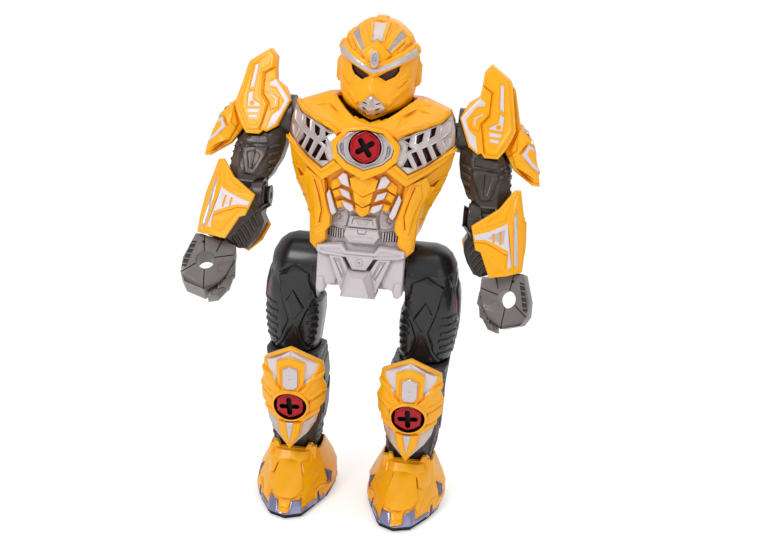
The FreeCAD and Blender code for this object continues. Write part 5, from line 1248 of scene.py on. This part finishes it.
leg_sym = partial(sym, middle=LEG_X)
leg_both = partial(both, middle=LEG_X)
steps = [
    # upper corners
    *leg_both(step("""41.8 122.6, 60.8 111.6, 59.4 105.6, 51.4 95.4, 51 103, 51.6 113,
                   41.8 117.2""", -0.7, 0.5)),
    *leg_both(step("""41.79 122, 60 111.3, 58.8 106, 51.6 96.4, 51.2 103, 51.8 113.1,
                   41.79 117.4""", 0, 0.3, "white_ink")),
    # shield with a silver pillar
    step(leg_sym("41.8 117.4, 52 112.9, 51.8 103.4, 50.6 96.6, 46.6 89"), 1.5, 0.9),
    step(leg_sym("41.8 112.4, 48.8 109, 48.6 94, 45.4 90.4"), -0.7, 0.7),
    step(leg_sym("41.8 110.4, 47.1 107.7, 47 95.2, 44.5 92"), 0.9, 0.6, "silver",
         margin=-0.1),
    step(disc(LEG_X, 100.4, 0.9, 12), -0.3, 0.3, "silver"),
    # wings beside and below the bolt
    *leg_both(step("""66 107.6, 57.2 102.4, 51.6 98.8, 51.4 94.6, 46 90.4, 50 82, 56.6 84,
                   66 90.2, 67 100""", 1.6, 0.8)),
    *leg_both(step("""64 103.2, 57.6 99.2, 54 96.8, 53.6 93, 50.2 90, 53.4 86.6, 60 90,
                   64 93.6""", -0.5, 0.7)),
    *leg_both(step("66 90, 57 84.6, 54.4 83, 52.4 74, 57.6 74.4, 66 80.6", 0.9, 0.8)),
    *leg_both(step("""65 79.6, 57.6 74.6, 51.5 72, 46 66.6, 50.2 66, 56 69.6,
                   62.4 74.2""", 1, 0.7)),
    *leg_both(step("""62.2 73.6, 50.6 65.4, 49 55.8, 43.2 46, 47.6 48, 54.4 54.4,
                   60 63.4""", -0.6, 0.5, "silver_warm", margin=0.1)),
    # lower blade with a silver wedge
    step("33.8 66.6, 49.8 66.6, 49.4 64, 48.1 55.2, 41.8 43, 35.5 55.2, 34.2 64", 1.3, 1.2),
    step("38.6 66.6, 45.2 66.6, 41.9 47.6", -0.9, 0.6),
    step("39.2 66, 44.6 66, 41.9 49.6", 0.5, 0.4, "silver", margin=-0.1),
    step(disc(LEG_X, 61.8, 0.8, 12), -0.3, 0.3, "silver"),
    # ring round the bolt, and a cup in it painted dark as shade round the bolt
    step(disc(LEG_X, SHIN_BOLT_Z, 12.8, 40), 0, 1.2, rounded=True, level=3.4),
    step(disc(LEG_X, SHIN_BOLT_Z, 10.5, 40), 0, 0.4, "cup", margin=0.05, level=-1.9)]
SHIN_GUARD_HALF = """41.8 124.8, 52.5 119.4, 62.6 112, 63.4 105.4, 62.2 99.4, 64.4 92.4,
    63.8 80.2, 61.6 77, 60.8 73, 58.6 64, 54 56.4, 47.6 50.2, 41.8 43.6"""
leg("shin_guard_shell", shin_guard_depth, leg_sym(SHIN_GUARD_HALF), steps, bevel=0.7,
    sink=3.2, grid=2.3, replaces="shin_guard_%s", slot="yellow_plastic")

# brackets that hold the guard off the shin
for i, (z, sink) in enumerate(((100.0, 9), (62.0, 14))):
    bracket = [(LEG_X - 7, z - 5), (LEG_X + 7, z - 5), (LEG_X + 7, z + 5), (LEG_X - 7, z + 5)]
    leg("guard_bracket_%d" % (i + 1), lambda x, z: -30.0 - (z - 44) * 0.2, bracket,
        [step(scaled(bracket, 0.6), -0.5, 0.5)], mat="shin", high=0.5, bevel=0.8, sink=sink,
        grid=3)


# ------------------------------------------------------------------ feet
def facing(axis, outline, steps):
    """Outline and steps as drawn for the outer face; mirrored for the inner."""
    if axis == "out":
        return outline, steps
    return flip(outline), [other(one) for one in steps]


FOOT = "foot_shell_left foot_sole_left"
leg("toe_rim", Scan(FOOT, 0.7),
    """16.5 0.6, 66.5 0.6, 67.5 3.2, 64 5.6, 55.6 6, 52.8 5.4, 51.6 12, 45 11, 44.4 5,
    36.2 5, 35.6 11, 29.2 11.6, 28 5.4, 25.4 6, 17.8 5.6, 15.8 3.2""",
    [step("14 0, 70 0, 70 2.6, 14 2.6", -0.4, 0.4)], mat="bluegrey", high=0.9, bevel=0.5,
    sink=3, grid=2.2)
leg("foot_tongue", Scan(FOOT, 0.7),
    """31.2 34.4, 52.4 34.4, 54.6 26, 60.4 19.4, 56.4 14.6, 53.6 8.6, 51.4 13.6, 45 12.6,
    43.6 7, 37 7, 35.6 12.6, 29.4 13.2, 27.6 8.6, 25 14.6, 21.4 19.4, 28.4 26""",
    [step("34 36, 49.6 36, 50.4 27, 53 16, 47.6 12, 34.4 12, 29.6 16, 33 27", 1, 0.8)],
    high=0.8, bevel=0.5, sink=2.6, grid=2.6)
CUFF = """27 38.4, 28.8 42, 31 41.8, 32.8 38.6, 51.2 38.6, 53 41.8, 55.8 42.2, 58.4 38.8,
    58.4 33, 60.6 22, 57.6 18.6, 52.6 24, 50.8 29, 33.4 29, 31.4 24, 26.4 18.6, 23.4 22,
    27 32"""
CUFF_POINTS = """26.4 -12.5 42, 28.8 -18.5 42, 33 -20.6 39, 41.8 -21.2 39, 51 -20.6 39,
    55.6 -18.5 42, 59 -12.5 42, 26.6 -16.5 32, 32.6 -27.6 30, 41.8 -28.4 30, 51 -27.6 30,
    58.6 -16.5 32, 22.6 -17.5 21, 31 -33.4 24, 52.8 -33.4 24, 61 -17.5 21, 26.4 -27 18,
    57.6 -27 18"""
leg("foot_cuff", Sheet(CUFF_POINTS, soft=0.5), CUFF,
    [step("29.6 37.6, 41.8 37, 55.4 37.6, 54.6 31, 50.4 30.4, 33.6 30.4, 29.6 31", 0.5, 0.6)],
    high=0.8, sink=3.4)
for axis, face_name in (("out", "outer"), ("in", "inner")):
    leg("foot_inlay_" + face_name, Scan(FOOT, 1), *facing(
        axis, "-15 12, -12 21, -3 16, -6 9",
        [step("-13.6 12.6, -11.4 19.2, -4.4 15.4, -6.8 10.2", -0.4, 0.4)]),
        mat="indigo", high=0.9, bevel=0.5, sink=1.6, axis=axis)
    leg("foot_skirt_" + face_name, Scan(FOOT, 1), *facing(
        axis, "-34 2, -30 9, -22 13, 2 8, 24 9, 33 6, 35 2",
        [step("-20 8.4, -14 10.4, 2 6, 20 6.6, 20 3.6, -20 3.6", 0.5, 0.5),
         step("-31 3, -28.6 8.2, -25.6 9.6, -27 3", 0.4, 0.4, "indigo")]),
        high=0.8, sink=1.8, grid=2.8, axis=axis)
leg("foot_heel", Scan(FOOT, 1), "-58 6, -25 6, -26 18, -33 26, -50 26, -57 18",
    [step("-53 9, -30 9, -32 17, -36 22, -47 22, -51 17", 0.7, 0.9),
     bar("-48 12, -35 12", 1.2, -0.5, 0.4), bar("-47 15.5, -36 15.5", 1.2, -0.5, 0.4)],
    high=0.8, bevel=0.8, sink=2, grid=2.8, axis="back")

# ------------------------------------------------------------------ thighs
thigh = partial(leg, mat="charcoal", high=0.7)
THIGH = """33.4 178, 60.6 178, 63.6 170, 67.2 158, 68.4 146, 68.6 136, 66.6 122, 64 115.5,
    55 113.6, 33 113.6, 30.6 122, 29.4 134, 29.6 146, 33 152"""
steps = [
    step("""36 172, 46.8 177, 58.4 169.4, 55.4 151, 50.2 136, 54.4 122.4, 61 112, 33 112,
         38.4 122, 41 131, 37.6 141, 33.2 153""", 1.4, 1.4),
    step("47 159.4, 52.2 150.6, 48.6 139.6, 45 136.6, 42 141.4, 38.8 145", 0.8, 0.9),
    bar("39 145.6, 47 158.2, 51.6 150.2", 0.9, -0.7),
    bar("57.6 169, 54.4 151, 49.6 136, 53.6 122.6, 58.6 116", 0.9, -0.8, 0.4),
    bar("34 152, 38.4 141, 41.8 131, 39.2 122, 35 115.8", 0.9, -0.8, 0.4),
    step("46.2 133.4, 52.2 121.4, 57.4 113, 36 113, 40.6 121.6", -0.7, 1)]
for i, z in enumerate((120.0, 125.0, 130.0, 135.0, 140.4, 146.0)):
    outer_x, inner_x = 58 if i % 2 else 57, 35.5 if i in (1, 2) else 37
    steps += [rib([(outer_x, z), (62.5, z + 0.6), (70, z + 2.6)], 2.6, 0.9, 0.9),
              rib([(27.6, z + 1.6), (33, z), (inner_x, z - 1)], 2.6, 0.9, 0.9)]
thigh("thigh_plate", Scan("thigh_front_left", 2), THIGH, steps, bevel=0.8, sink=2)
steps = [step("-9 166, 0 172, 9 166, 6 148, 0 142, -7 148", 0.9, 1)]
for z in (120, 125, 130, 135, 140):
    steps.append(rib([(-13, z + 1.5), (0, z - 1), (13, z + 1.5)], 2.6, 0.9, 0.9))
steps.append(step("-11.4 158, -9.6 160, -9 150, -11 148", 0.3, 0.3, "red"))
thigh("thigh_side", Scan("thigh_front_left thigh_back_left", 2),
      "-13 168, -4 178, 8 178, 14 168, 14 120, 6 114, -8 114, -14 122, -15 150", steps,
      bevel=0.9, sink=1.6, grid=2.6, axis="out")
thigh("thigh_rear", Scan("thigh_back_left", 2),
      "-63 166, -36 166, -34 150, -34 122, -38 115, -60 115, -64 122, -65 150",
      [step("-58 158, -49 164, -40 158, -42 136, -49 128, -56 136", 0.9, 1)]
      + [rib([(-61, z + 1), (-49, z - 1.4), (-37, z + 1)], 2.4, 0.8, 0.8)
         for z in (118, 123)],
      bevel=0.9, sink=1.6, grid=2.8, axis="back")

# ------------------------------------------------------------------ shins
SHIN = "shin_front_left shin_back_left"
SHIN_SIDE = """-20 108, 12 110, 14 96, 11 60, 9 40, -10 40, -14 58, -18 84, -22 100"""
steps = [step("-16 104, 8 106, 9 92, 0 84, -14 90", 0.8, 0.9),
         step("-13 86, 0 80, 9 88, 8 66, -2 58, -11 64", 0.8, 0.9)]
steps += [bar([(-8, z), (8, z)], 2, 0.7, 0.6) for z in (54, 49, 44)]
for axis, name in (("out", "shin_side"), ("in", "shin_side_inner")):
    leg(name, Scan(SHIN, 1.5), *facing(axis, SHIN_SIDE, steps), mat="shin", bevel=0.7,
        grid=2.8, axis=axis)
leg("ankle_strip", Scan(SHIN, 1.5), "3 44, 7 58, 10 57, 7.6 42",
    [step("4.2 45.6, 7.6 56.4, 8.8 55.8, 6.4 44", 0.3, 0.3)], mat="red", high=1.6, bevel=0.4,
    axis="out")
leg("shin_rear", Scan("shin_back_left", 1.5),
    "-60 106, -28 106, -26 84, -30 46, -55 46, -60 84",
    [step("-55 100, -33 100, -32 82, -44 70, -55 82", 0.9, 1),
     bar("-53 66, -44 60, -34 66", 2.2, 0.8, 0.7),
     bar("-52 58, -44 53, -35 58", 2.2, 0.8, 0.7),
     # hole painted black: painted shade inside it
     step(disc(-44, 92, 2.6, 18), -0.7, 0.4, "black")],
    mat="shin", bevel=0.8, grid=2.8, axis="back")
leg("ankle_plate", Scan("shin_front_left", 1.2),
    "30 56, 54 56, 53 46, 50.6 42.6, 33 42.6, 30.6 46",
    [step("36 54, 48 54, 47 44, 37 44", 0.8, 0.6), bar("31 49, 35 49", 1.2, -0.4, 0.3),
     bar("49 49, 53 49", 1.2, -0.4, 0.3)], mat="shin", high=0.7)

# ------------------------------------------------------------------ upper arms
upper_arm = partial(arm, mat="gun", bevel=0.8)
UPPER_ARM = """64.5 262.4, 71.2 262, 87 261.4, 91.6 258, 91.4 250, 90.6 243, 89.6 239.4,
    87 236, 84.6 234.6, 75.6 234.6, 70.6 236.6, 66.8 240, 65 246, 63.6 254"""
steps = [
    step("87.5 259.6, 86.8 254.9, 79.2 255.6, 71.2 256.2, 71.2 262.6, 80 264", 0.9, 0.8),
    step("""88 253.6, 88.4 249.4, 84.6 235, 77.6 233.6, 71.2 248.8, 70.6 254.4,
         79 254""", 1.1, 1.1),
    step("85.4 250.6, 82.6 238.6, 78.6 237.6, 74.2 248.6, 79.6 251.4", -0.5, 0.8),
    bar("79.2 251.6, 79.8 238", 0.8, -0.4, 0.3)]
for z in (256.0, 251.0, 246.0, 241.0, 236.6):
    steps.append(rib([(62, z), (66, z - 0.6), (70.4, z - 2.4)], 2.8, 1.2, 0.9))
    if z > 246.5:
        steps.append(rib([(88.6, z - 1), (96, z + 1)], 2.8, 1.2, 0.9))
upper_arm("upper_arm_plate", Scan("upper_arm_front_left", 1.6), UPPER_ARM, steps, sink=1.8,
          grid=2.2)
upper_arm("upper_arm_side", Scan("upper_arm_front_left upper_arm_back_left", 1.6),
          "-12 236, -11 256, -2 262, 8 258, 6 244, -1 235",
          [rib([(-11, z), (-3, z - 1.4), (6, z)], 2.4, 0.8, 0.8)
           for z in (239, 244, 249, 254)], axis="out")
upper_arm("upper_arm_rear", Scan("upper_arm_back_left", 1.6),
          "-91 262, -66 262, -66 246, -72 236, -88 236, -92 246",
          [step("-88 258, -70 258, -71 246, -79 238, -87 246", 0.9, 1)], grid=2.6,
          axis="back")

# ------------------------------------------------------------------ forearms
# ribbed cover on the inner side of the front: outline, then control points x, y, z
FOREARM_RIBS = """71.6 226, 70.6 216, 71.2 208, 68.8 203.4, 69.4 198, 72 191.6, 77.6 184,
    82.6 183.6, 92 188.6, 85 206, 80 216, 80 226"""
FOREARM_POINTS = """94 -35.5 189, 86 -34 205, 80 -29 217, 80 -26 228, 70 -17 227,
    69 -18 214, 67.6 -20 203, 67.6 -22 198, 71 -25 190, 76.6 -29 183, 84 -33 183"""
steps = [step("72.4 224, 71.8 216, 74 209.6, 79 212.6, 78.6 224", 0.7, 0.8)]
for i in range(6):
    shift, drop = 1.7 * i, 3.8 * i
    steps.append(rib([(80.6 + shift, 213.4 - drop), (76.4 + shift, 207.6 - drop),
                      (72 + shift, 199.6 - drop)], 2.2, 1.1, 0.8))
forearm("forearm_ribs", Sheet(FOREARM_POINTS, soft=1.2), FOREARM_RIBS, steps, mat="gun",
        high=0.5, bevel=0.8, sink=15, grid=2)
hub = disc(14, ELBOW.z, 8.6, 24, 9.4)
forearm("elbow_hub", 70.8, hub, [step(scaled(hub, 0.74), 0.7, 1),
                                 step(scaled(hub, 0.3), -0.6, 0.5)],
        mat="gun", bevel=1, sink=15, grid=2.6, axis="in")
forearm("forearm_inner", Scan("forearm_front_left forearm_back_left", 1.2),
        "8 216, 18 216, 30 206, 38 192, 30 186, 16 200",
        [rib([(10 + 4.0 * i, 214 - 4.6 * i), (22 + 4.0 * i, 208 - 4.6 * i)], 1.9, 0.8, 0.7)
         for i in range(5)], mat="gun", high=0.5, grid=2.2, axis="in")
forearm("forearm_outer", Scan("forearm_front_left forearm_back_left forearm_guard_left", 1),
        "-20 226, -9 224, -6 214, -18 196, -30 192, -30 210",
        [step("-18 222, -11 221, -10 214, -19 202, -26 200, -25 212", 0.7, 0.9),
         bar("-16 220, -22 208", 1.4, -0.4, 0.4, "silver")],
        high=0.7, bevel=0.7, axis="out")
REAR_GUARD = "69.6 204, 67 200.4, 71 189.4, 79 181.4, 88 184.6, 82 195, 76 205"
forearm("forearm_rear_guard", lambda x, z: -8.2 + FOREARM_LEAN * (z - 200.0), REAR_GUARD,
        [step(scaled(REAR_GUARD, 0.6), 0.5, 0.6)], high=0.7, bevel=0.7, sink=2.4, grid=2.2)


# ------------------------------------------------------------------ fists
def on_fist(outline):
    """Front-view points carried onto the plane of the fist, in the hand view."""
    points = []
    for x, z in pts(outline):
        point = Vector((x, 0, z))
        point.y = FIST_CENTRE.y + ((point.x - FIST_CENTRE.x) * arm_front.x
                                   + (point.z - FIST_CENTRE.z) * arm_front.z) / -arm_front.y
        offset = point - FIST_CENTRE
        points.append((offset.dot(arm_across), -offset.dot(arm_down)))
    return points


steps = [bar(on_fist(line), 0.9, -0.8, 0.3) for line in (
    "93 188.6, 95.6 180.6", "81 180, 97 176.5", "101.4 170, 99 151",
    "106.5 173, 118 164.5", "103.4 180.4, 106 194")]
# ladder slot with five rungs, the slot painted dark as shade
ladder = on_fist("109.6 186.6, 112.6 186.4, 116.6 169.6, 113.6 169.4")
steps.append(step(ladder, -0.7, 0.25, "hand_dark", margin=-0.1))
left_top, right_top, right_foot, left_foot = [Vector(point) for point in ladder]
for k in range(5):
    start, end = k / 5 + 0.05, k / 5 + 0.12
    rung = [left_top.lerp(left_foot, start), right_top.lerp(right_foot, start),
            right_top.lerp(right_foot, end), left_top.lerp(left_foot, end)]
    steps.append(step([tuple(corner) for corner in rung], 0.5, 0.15, "hand"))
steps += [
    # small hole painted dark: painted shade inside it
    step(disc(*on_fist("105 186.5")[0], 1.1, 12), -0.6, 0.3, "hand_dark"),
    # slope along the bottom, then a shallow hollow at the inner edge
    step(on_fist("""119 166.4, 101 158.4, 92.4 162.6, 86 166.6, 82 160, 98 148,
                 116 154"""), -2.8, 3.4),
    step(on_fist("82 176.4, 94.4 173, 92.6 166.6, 82 168.4"), -0.8, 1.6)]
FIST_FACE = """107.4 192, 111.4 192, 116.6 176, 116.6 166.4, 112.6 160.4, 99.4 156.2,
    90.6 161.6, 86.6 167, 83.2 177, 83.6 186, 92.6 188"""
fist("fist_face", 0.4, on_fist(FIST_FACE), steps, holes=[disc(0, 0, 6.3, 36)], high=0.8,
     bevel=1.3, sink=23, grid=2, replaces="hand_%s")

# turned wrist pin with a snap groove; profile: height up the arm from the wrist, radius
PIN_PROFILE = ((-6.0, 3.2), (-5.4, 3.9), (1.8, 3.9), (2.2, 3.4), (3.4, 3.4), (3.8, 3.9),
               (5.9, 3.9), (6.5, 3.3))
PIN_SIDES = 28


def wrist_pin(side):
    centre = WRIST + arm_across * 0.8 + arm_front * 0.3
    frame = placement(FIST, side)
    verts, faces = [], []
    for height, radius in PIN_PROFILE:
        for k in range(PIN_SIDES):
            angle = 2 * math.pi * k / PIN_SIDES
            verts.append(centre - arm_down * height + arm_across * (radius * math.cos(angle))
                         + arm_front * (radius * math.sin(angle)))
    last = (len(PIN_PROFILE) - 1) * PIN_SIDES
    for low in range(0, last, PIN_SIDES):
        for k in range(PIN_SIDES):
            after = (k + 1) % PIN_SIDES
            faces.append((low + k, low + after, low + PIN_SIDES + after, low + PIN_SIDES + k))
    faces.append(tuple(range(PIN_SIDES))[::-1])
    faces.append(tuple(last + k for k in range(PIN_SIDES)))
    add_mesh("wrist_pin_" + SIDE_NAME[side], [frame @ v for v in verts], faces,
             [0] * len(faces), ["hand_dark"], FIST % SIDE_NAME[side])


wrist_pin(1)
wrist_pin(-1)

FINGERS = (("82.4 177, 81.4 169.4, 86.4 164.4, 89 171", 3.2),       # outline, depth
           ("82.6 168.6, 84 161, 91 158.4, 91.6 165", 4.6),
           ("85.2 161, 90 154.4, 96.4 153, 95.4 159.4", 6.2))
for i, (outline, depth) in enumerate(FINGERS):
    finger = on_fist(outline)
    fist("fist_finger_%d" % (i + 1), depth, finger, [step(scaled(finger, 0.66), 0.5, 0.6)],
         bevel=0.9, sink=12)

# ------------------------------------------------------------------ waist
grey = partial(panel, mat="lgrey")
waist = partial(grey, high=0.8, sink=2, grid=2)
WAIST = Scan("waist_front", 0.5)
waist("waist_block_upper", WAIST, "-8.6 216, 8.6 216, 10 208.8, -10 208.8",
      [bar("-7.4 211, -6.6 214.6, 6.6 214.6, 7.4 211", 0.8, -0.7, 0.25),
       step("-4.6 213.4, 4.6 213.4, 3.2 210.8, -3.2 210.8", -0.5, 0.4)])
waist("waist_block_lower", WAIST,
      "-10.6 207.6, 10.6 207.6, 12 203.4, 8.4 198.6, -8.4 198.6, -12 203.4",
      [bar("-3.2 207.6, -2.2 204.8, 2.2 204.8, 3.2 207.6", 0.7, -0.6, 0.25),
       step("-8.4 202.6, 8.4 202.6, 7 199.8, -7 199.8", 0.5, 0.5)])
waist("waist_side_cover", WAIST,
      "11.4 222.6, 15.4 225, 19.8 221.6, 22.4 213.6, 20 209, 15 207.4, 11.4 208.4, 10.2 215",
      [bar("13 219.6, 16.6 217.6, 15 213.6, 18.6 211.4", 0.9, -0.6, 0.3),
       step("13.6 215, 17.4 216.6, 18.6 213.4, 15.8 210.6, 12.8 211.4", 0.6, 0.6),
       bar("17.4 221.4, 20 214.4", 0.8, -0.5, 0.3)], high=1, pair=True)
# comb of seven slots, painted dark as shade
SLOT_PITCH = 1.65
steps = []
for i in range(7):
    left, right = 14.4 + SLOT_PITCH * i, 15.3 + SLOT_PITCH * i
    steps.append(step([(left, 206.6), (right, 206.7), (right, 199.2), (left, 199.2)],
                      -1, 0.25, "hand_dark", margin=0.05))
waist("waist_comb", WAIST, "13.2 206, 26.6 207.4, 26.6 200.2, 13.2 199.4", steps, high=1.3,
      bevel=0.4, pair=True)

# ------------------------------------------------------------------ pelvis
BELT = """-30.4 190.4, -25.5 188.8, -10.5 188.2, 10.5 188.2, 25.5 188.8, 30.4 190.4,
    30.4 195, 12.8 197.1, 9.6 192.6, -9.6 192.6, -12.8 197.1, -30.4 195"""
grey("pelvis_belt", lambda x, z: -35.4 + 0.0022 * x * x, BELT,
     [step(sym("0 190.9, 11.2 190.9, 14 194.4, 27.6 193, 27.6 191.6, 10 190, 0 190"),
           -0.45, 0.3)], high=1.4, bevel=0.7, sink=7)
SHIELD = "-10.4 190, 10.4 190, 4.6 180, -4.6 180"
grey("pelvis_shield", -36.2, SHIELD,
     [step(scaled(SHIELD, 0.84), -0.35, 0.4), step(disc(0, 185.4, 2.6, 6), 0.9, 0.4),
      step(disc(0, 185.4, 1.1, 14), -0.6, 0.3)], high=0.9, bevel=0.5, sink=6, grid=1.8)
grey("pelvis_side_plate", lambda x, z: -31.6 + 0.10 * max(0.0, 176.0 - z),
     "20 189.6, 30 189.6, 30 163, 27.6 160.6, 24.4 161.4, 23 166, 17 168, 14 176",
     [roll("31 172, 25 172.6, 22.6 164, 24 158, 31 158", 1.2, 1.4)],
     high=0.7, bevel=1.2, sink=12, grid=2.2, pair=True)
grey("pelvis_strut", lambda x, z: -34.6 + 0.02 * (189 - z),
     "21.6 188.8, 12.4 188.8, 5.6 176.4, 7.6 167, 10 163.6, 12.4 164.6, 13.6 168",
     [step("18.4 187, 13.6 187, 9 176, 11.6 173", -0.9, 0.4),
      step("16.6 185.2, 14.6 185.2, 10.8 177, 12 175.4", 0.6, 0.3)],
     high=1, sink=8, grid=2, pair=True)
FRONT_CAP = "-3.8 176, 3.8 176, 9 163, -9 163"
grey("pelvis_front_cap", -44.2, FRONT_CAP, [step(scaled(FRONT_CAP, 0.78), 0.35, 0.6)],
     high=0.5, bevel=0.5, sink=1.5, grid=2.2)

# ------------------------------------------------------------------ back
BACK = Scan("chest_back_shell battery_door", 1.4)
steps = both(step("29 286, 42 282, 45 272, 36 268, 29 274", 1, 0.9))
for side in (1, -1):
    for k in range(3):
        steps.append(rib([(side * (29 + k * 0.4), 260 - 8.0 * k),
                          (side * (41 - k * 3.0), 264 - 8.0 * k)], 2.6, 0.8, 0.8))
steps += [bar([(-20, z), (20, z)], 1.6, -0.5, 0.4) for z in (288.0, 284.6, 281.2)]
# four holes painted black: painted shade inside them
steps += [step(disc(x, z, 3.6, 20), -0.5, 0.4, "black", margin=0.9)
          for x, z in ((-36, 246), (36, 246), (-40, 276), (40, 276))]
panel("back_cover", BACK, sym("""0 292, 26 291, 44 286, 50 276, 48 262, 40 246, 33 232,
      28.5 222, 25.5 222, 25.5 263.6, 0 263.6"""), steps,
      holes=[pts("-9 265, 9 265, 9 273, -9 273")], mat="yellow_back", high=0.7, bevel=0.8,
      sink=1.2, grid=2.8, axis="back")
panel("battery_hatch", BACK, "-22.6 227.4, 22.6 227.4, 22.6 260.6, -22.6 260.6",
      [rib([(-16, z), (16, z)], 1.3, 0.5, 0.5) for z in (232, 235.5, 239, 242.5)]
      + [step("-6 252, 6 252, 4 257.6, -4 257.6", -0.6, 0.5),
         bar("-3.6 254.8, 3.6 254.8", 0.9, 0.5, 0.4)],
      mat="yellow_back", bevel=0.8, sink=1, grid=2.8, axis="back")
grey("waist_rear", Scan("waist_back", 1.2),
     "-24 214, 24 214, 27 196, 27 186, 17 170, -17 170, -27 186, -27 196",
     [step("-12 210, 12 210, 9 199, -9 199", 0.9, 0.8),
      step("-16 192, 16 192, 10 175, -10 175", 0.9, 0.9),
      bar("-25 194.5, 25 194.5", 1.2, -0.5, 0.4)]
     + [bar([(x, 200), (x, 206)], 1.2, -0.5, 0.3) for x in (-23, -20, -17, 17, 20, 23)],
     high=0.7, bevel=0.7, sink=1.2, grid=2.6, axis="back")
arm("pad_rear", lambda x, z: -(PAD_Y + PAD_THICK - PAD_SLOPE * (PAD_Z - z)),
    flip(scaled(PAD, 0.9)),
    [step(flip(scaled(PAD, 0.66)), -1.4, 0.8), bar("-74 300, -90 300", 1.6, 0.9, 0.6),
     bar("-66 286, -92 286", 1.6, 0.9, 0.6)],
    mat="yellow_back", high=0.8, bevel=0.8, sink=1.2, grid=3, axis="back")
# dark well round the neck
panel("neck_well", -279.5, top_disc(6, 24.5, 24.5, 36), [step(disc(0, 6, 18, 30), 0.8, 0.8)],
      holes=[disc(0, 6, 10, 28)], mat="neck", high=0.5, sink=1.2, grid=3, axis="top")


# ------------------------------------------------------------------ camera, world, lights
def add_camera(place_mm, yaw, pitch, roll_angle, lens):
    """Camera at a drawing-frame place; angles in degrees, lens in mm."""
    data = bpy.data.cameras.new("cam")
    camera = bpy.data.objects.new("cam", data)
    scene.collection.objects.link(camera)
    yaw, pitch, roll_angle = map(math.radians, (yaw, pitch, roll_angle))
    ahead = Vector((math.sin(yaw) * math.cos(pitch), math.cos(yaw) * math.cos(pitch),
                    math.sin(pitch)))
    level = ahead.cross(Vector((0, 0, 1))).normalized()
    upright = level.cross(ahead)
    right = level * math.cos(roll_angle) + upright * math.sin(roll_angle)
    up = upright * math.cos(roll_angle) - level * math.sin(roll_angle)
    x, y, z = place_mm
    camera.matrix_world = view(right, up, -ahead, Vector((x, y + DRAWING_SHIFT, z)) / 1000)
    data.sensor_width = 36.0
    data.lens = lens
    data.clip_start, data.clip_end = 0.01, 50
    scene.camera = camera


def add_world(light_strength, seen_strength):
    """White world, brighter to the camera than as a light."""
    world = bpy.data.worlds.new("w")
    world.use_nodes = True
    tree = world.node_tree
    background = tree.nodes["Background"]
    background.inputs["Color"].default_value = (1, 1, 1, 1)
    path = tree.nodes.new("ShaderNodeLightPath")
    strength = add_node(tree, "MapRange", {
        "Value": path.outputs["Is Camera Ray"], "To Min": light_strength,
        "To Max": seen_strength})
    tree.links.new(strength.outputs["Result"], background.inputs["Strength"])
    scene.world = world


def add_light(name, place, size, watts):
    """Area light aimed at the middle of the figure."""
    data = bpy.data.lights.new(name, "AREA")
    data.shape = "RECTANGLE"
    data.size, data.size_y = size
    data.energy = watts
    lamp = bpy.data.objects.new(name, data)
    scene.collection.objects.link(lamp)
    lamp.location = place
    aim = Vector((0, 0, 0.18)) - Vector(place)
    lamp.rotation_euler = aim.to_track_quat("-Z", "Y").to_euler()


def add_floor(half_size, drop, fade_start, fade_end):
    """Pale floor that runs into the white world between two distances (m)."""
    mesh = bpy.data.meshes.new("floor")
    s = half_size
    mesh.from_pydata([(-s, -s, 0), (s, -s, 0), (s, s, 0), (-s, s, 0)], [], [(0, 1, 2, 3)])
    mat = bpy.data.materials.new("floor")
    mat.use_nodes = True
    tree = mat.node_tree
    shader = tree.nodes["Principled BSDF"]
    shader.inputs["Base Color"].default_value = (0.93, 0.93, 0.93, 1)
    shader.inputs["Roughness"].default_value = 0.9
    shader.inputs["Emission Color"].default_value = (1, 1, 1, 1)
    camera_ray = tree.nodes.new("ShaderNodeLightPath").outputs["Is Camera Ray"]
    glow = add_node(tree, "MapRange", {"Value": camera_ray, "To Min": 0.10, "To Max": 0.36})
    tree.links.new(glow.outputs["Result"], shader.inputs["Emission Strength"])
    geometry = tree.nodes.new("ShaderNodeNewGeometry")
    distance = add_node(tree, "VectorMath", {0: geometry.outputs["Position"]},
                        operation="LENGTH")
    fade = add_node(tree, "MapRange", {
        "Value": distance.outputs["Value"], "From Min": fade_start, "From Max": fade_end},
        interpolation_type="SMOOTHSTEP")
    seen_fade = add_node(tree, "Math", {0: fade.outputs["Result"], 1: camera_ray},
                         operation="MULTIPLY")
    white = add_node(tree, "Emission", {"Strength": 1.05})
    blend = add_node(tree, "MixShader", {
        "Fac": seen_fade.outputs["Value"], 1: shader.outputs["BSDF"],
        2: white.outputs["Emission"]})
    tree.links.new(blend.outputs["Shader"], tree.nodes["Material Output"].inputs["Surface"])
    mesh.materials.append(mat)
    floor = bpy.data.objects.new("floor", mesh)
    scene.collection.objects.link(floor)
    floor.location = (0, 0, -drop)


add_camera(place_mm=(90.7, -761.6, 359.5), yaw=-6, pitch=-13.63, roll_angle=4.01,
           lens=52.143158)
add_world(light_strength=0.60, seen_strength=1.0)
scene.view_settings.view_transform = "Standard"
add_light("key", place=(-0.55, -0.95, 1.05), size=(0.5, 0.5), watts=6.0)
add_light("fill", place=(1.0, -0.8, 0.55), size=(0.9, 0.9), watts=1.3)
add_light("top", place=(0.0, 0.1, 1.35), size=(1.0, 1.0), watts=3.0)
add_light("rim", place=(0.3, 1.1, 0.9), size=(1.0, 0.7), watts=1.6)
add_floor(half_size=40.0, drop=0.0004, fade_start=0.22, fade_end=0.75)
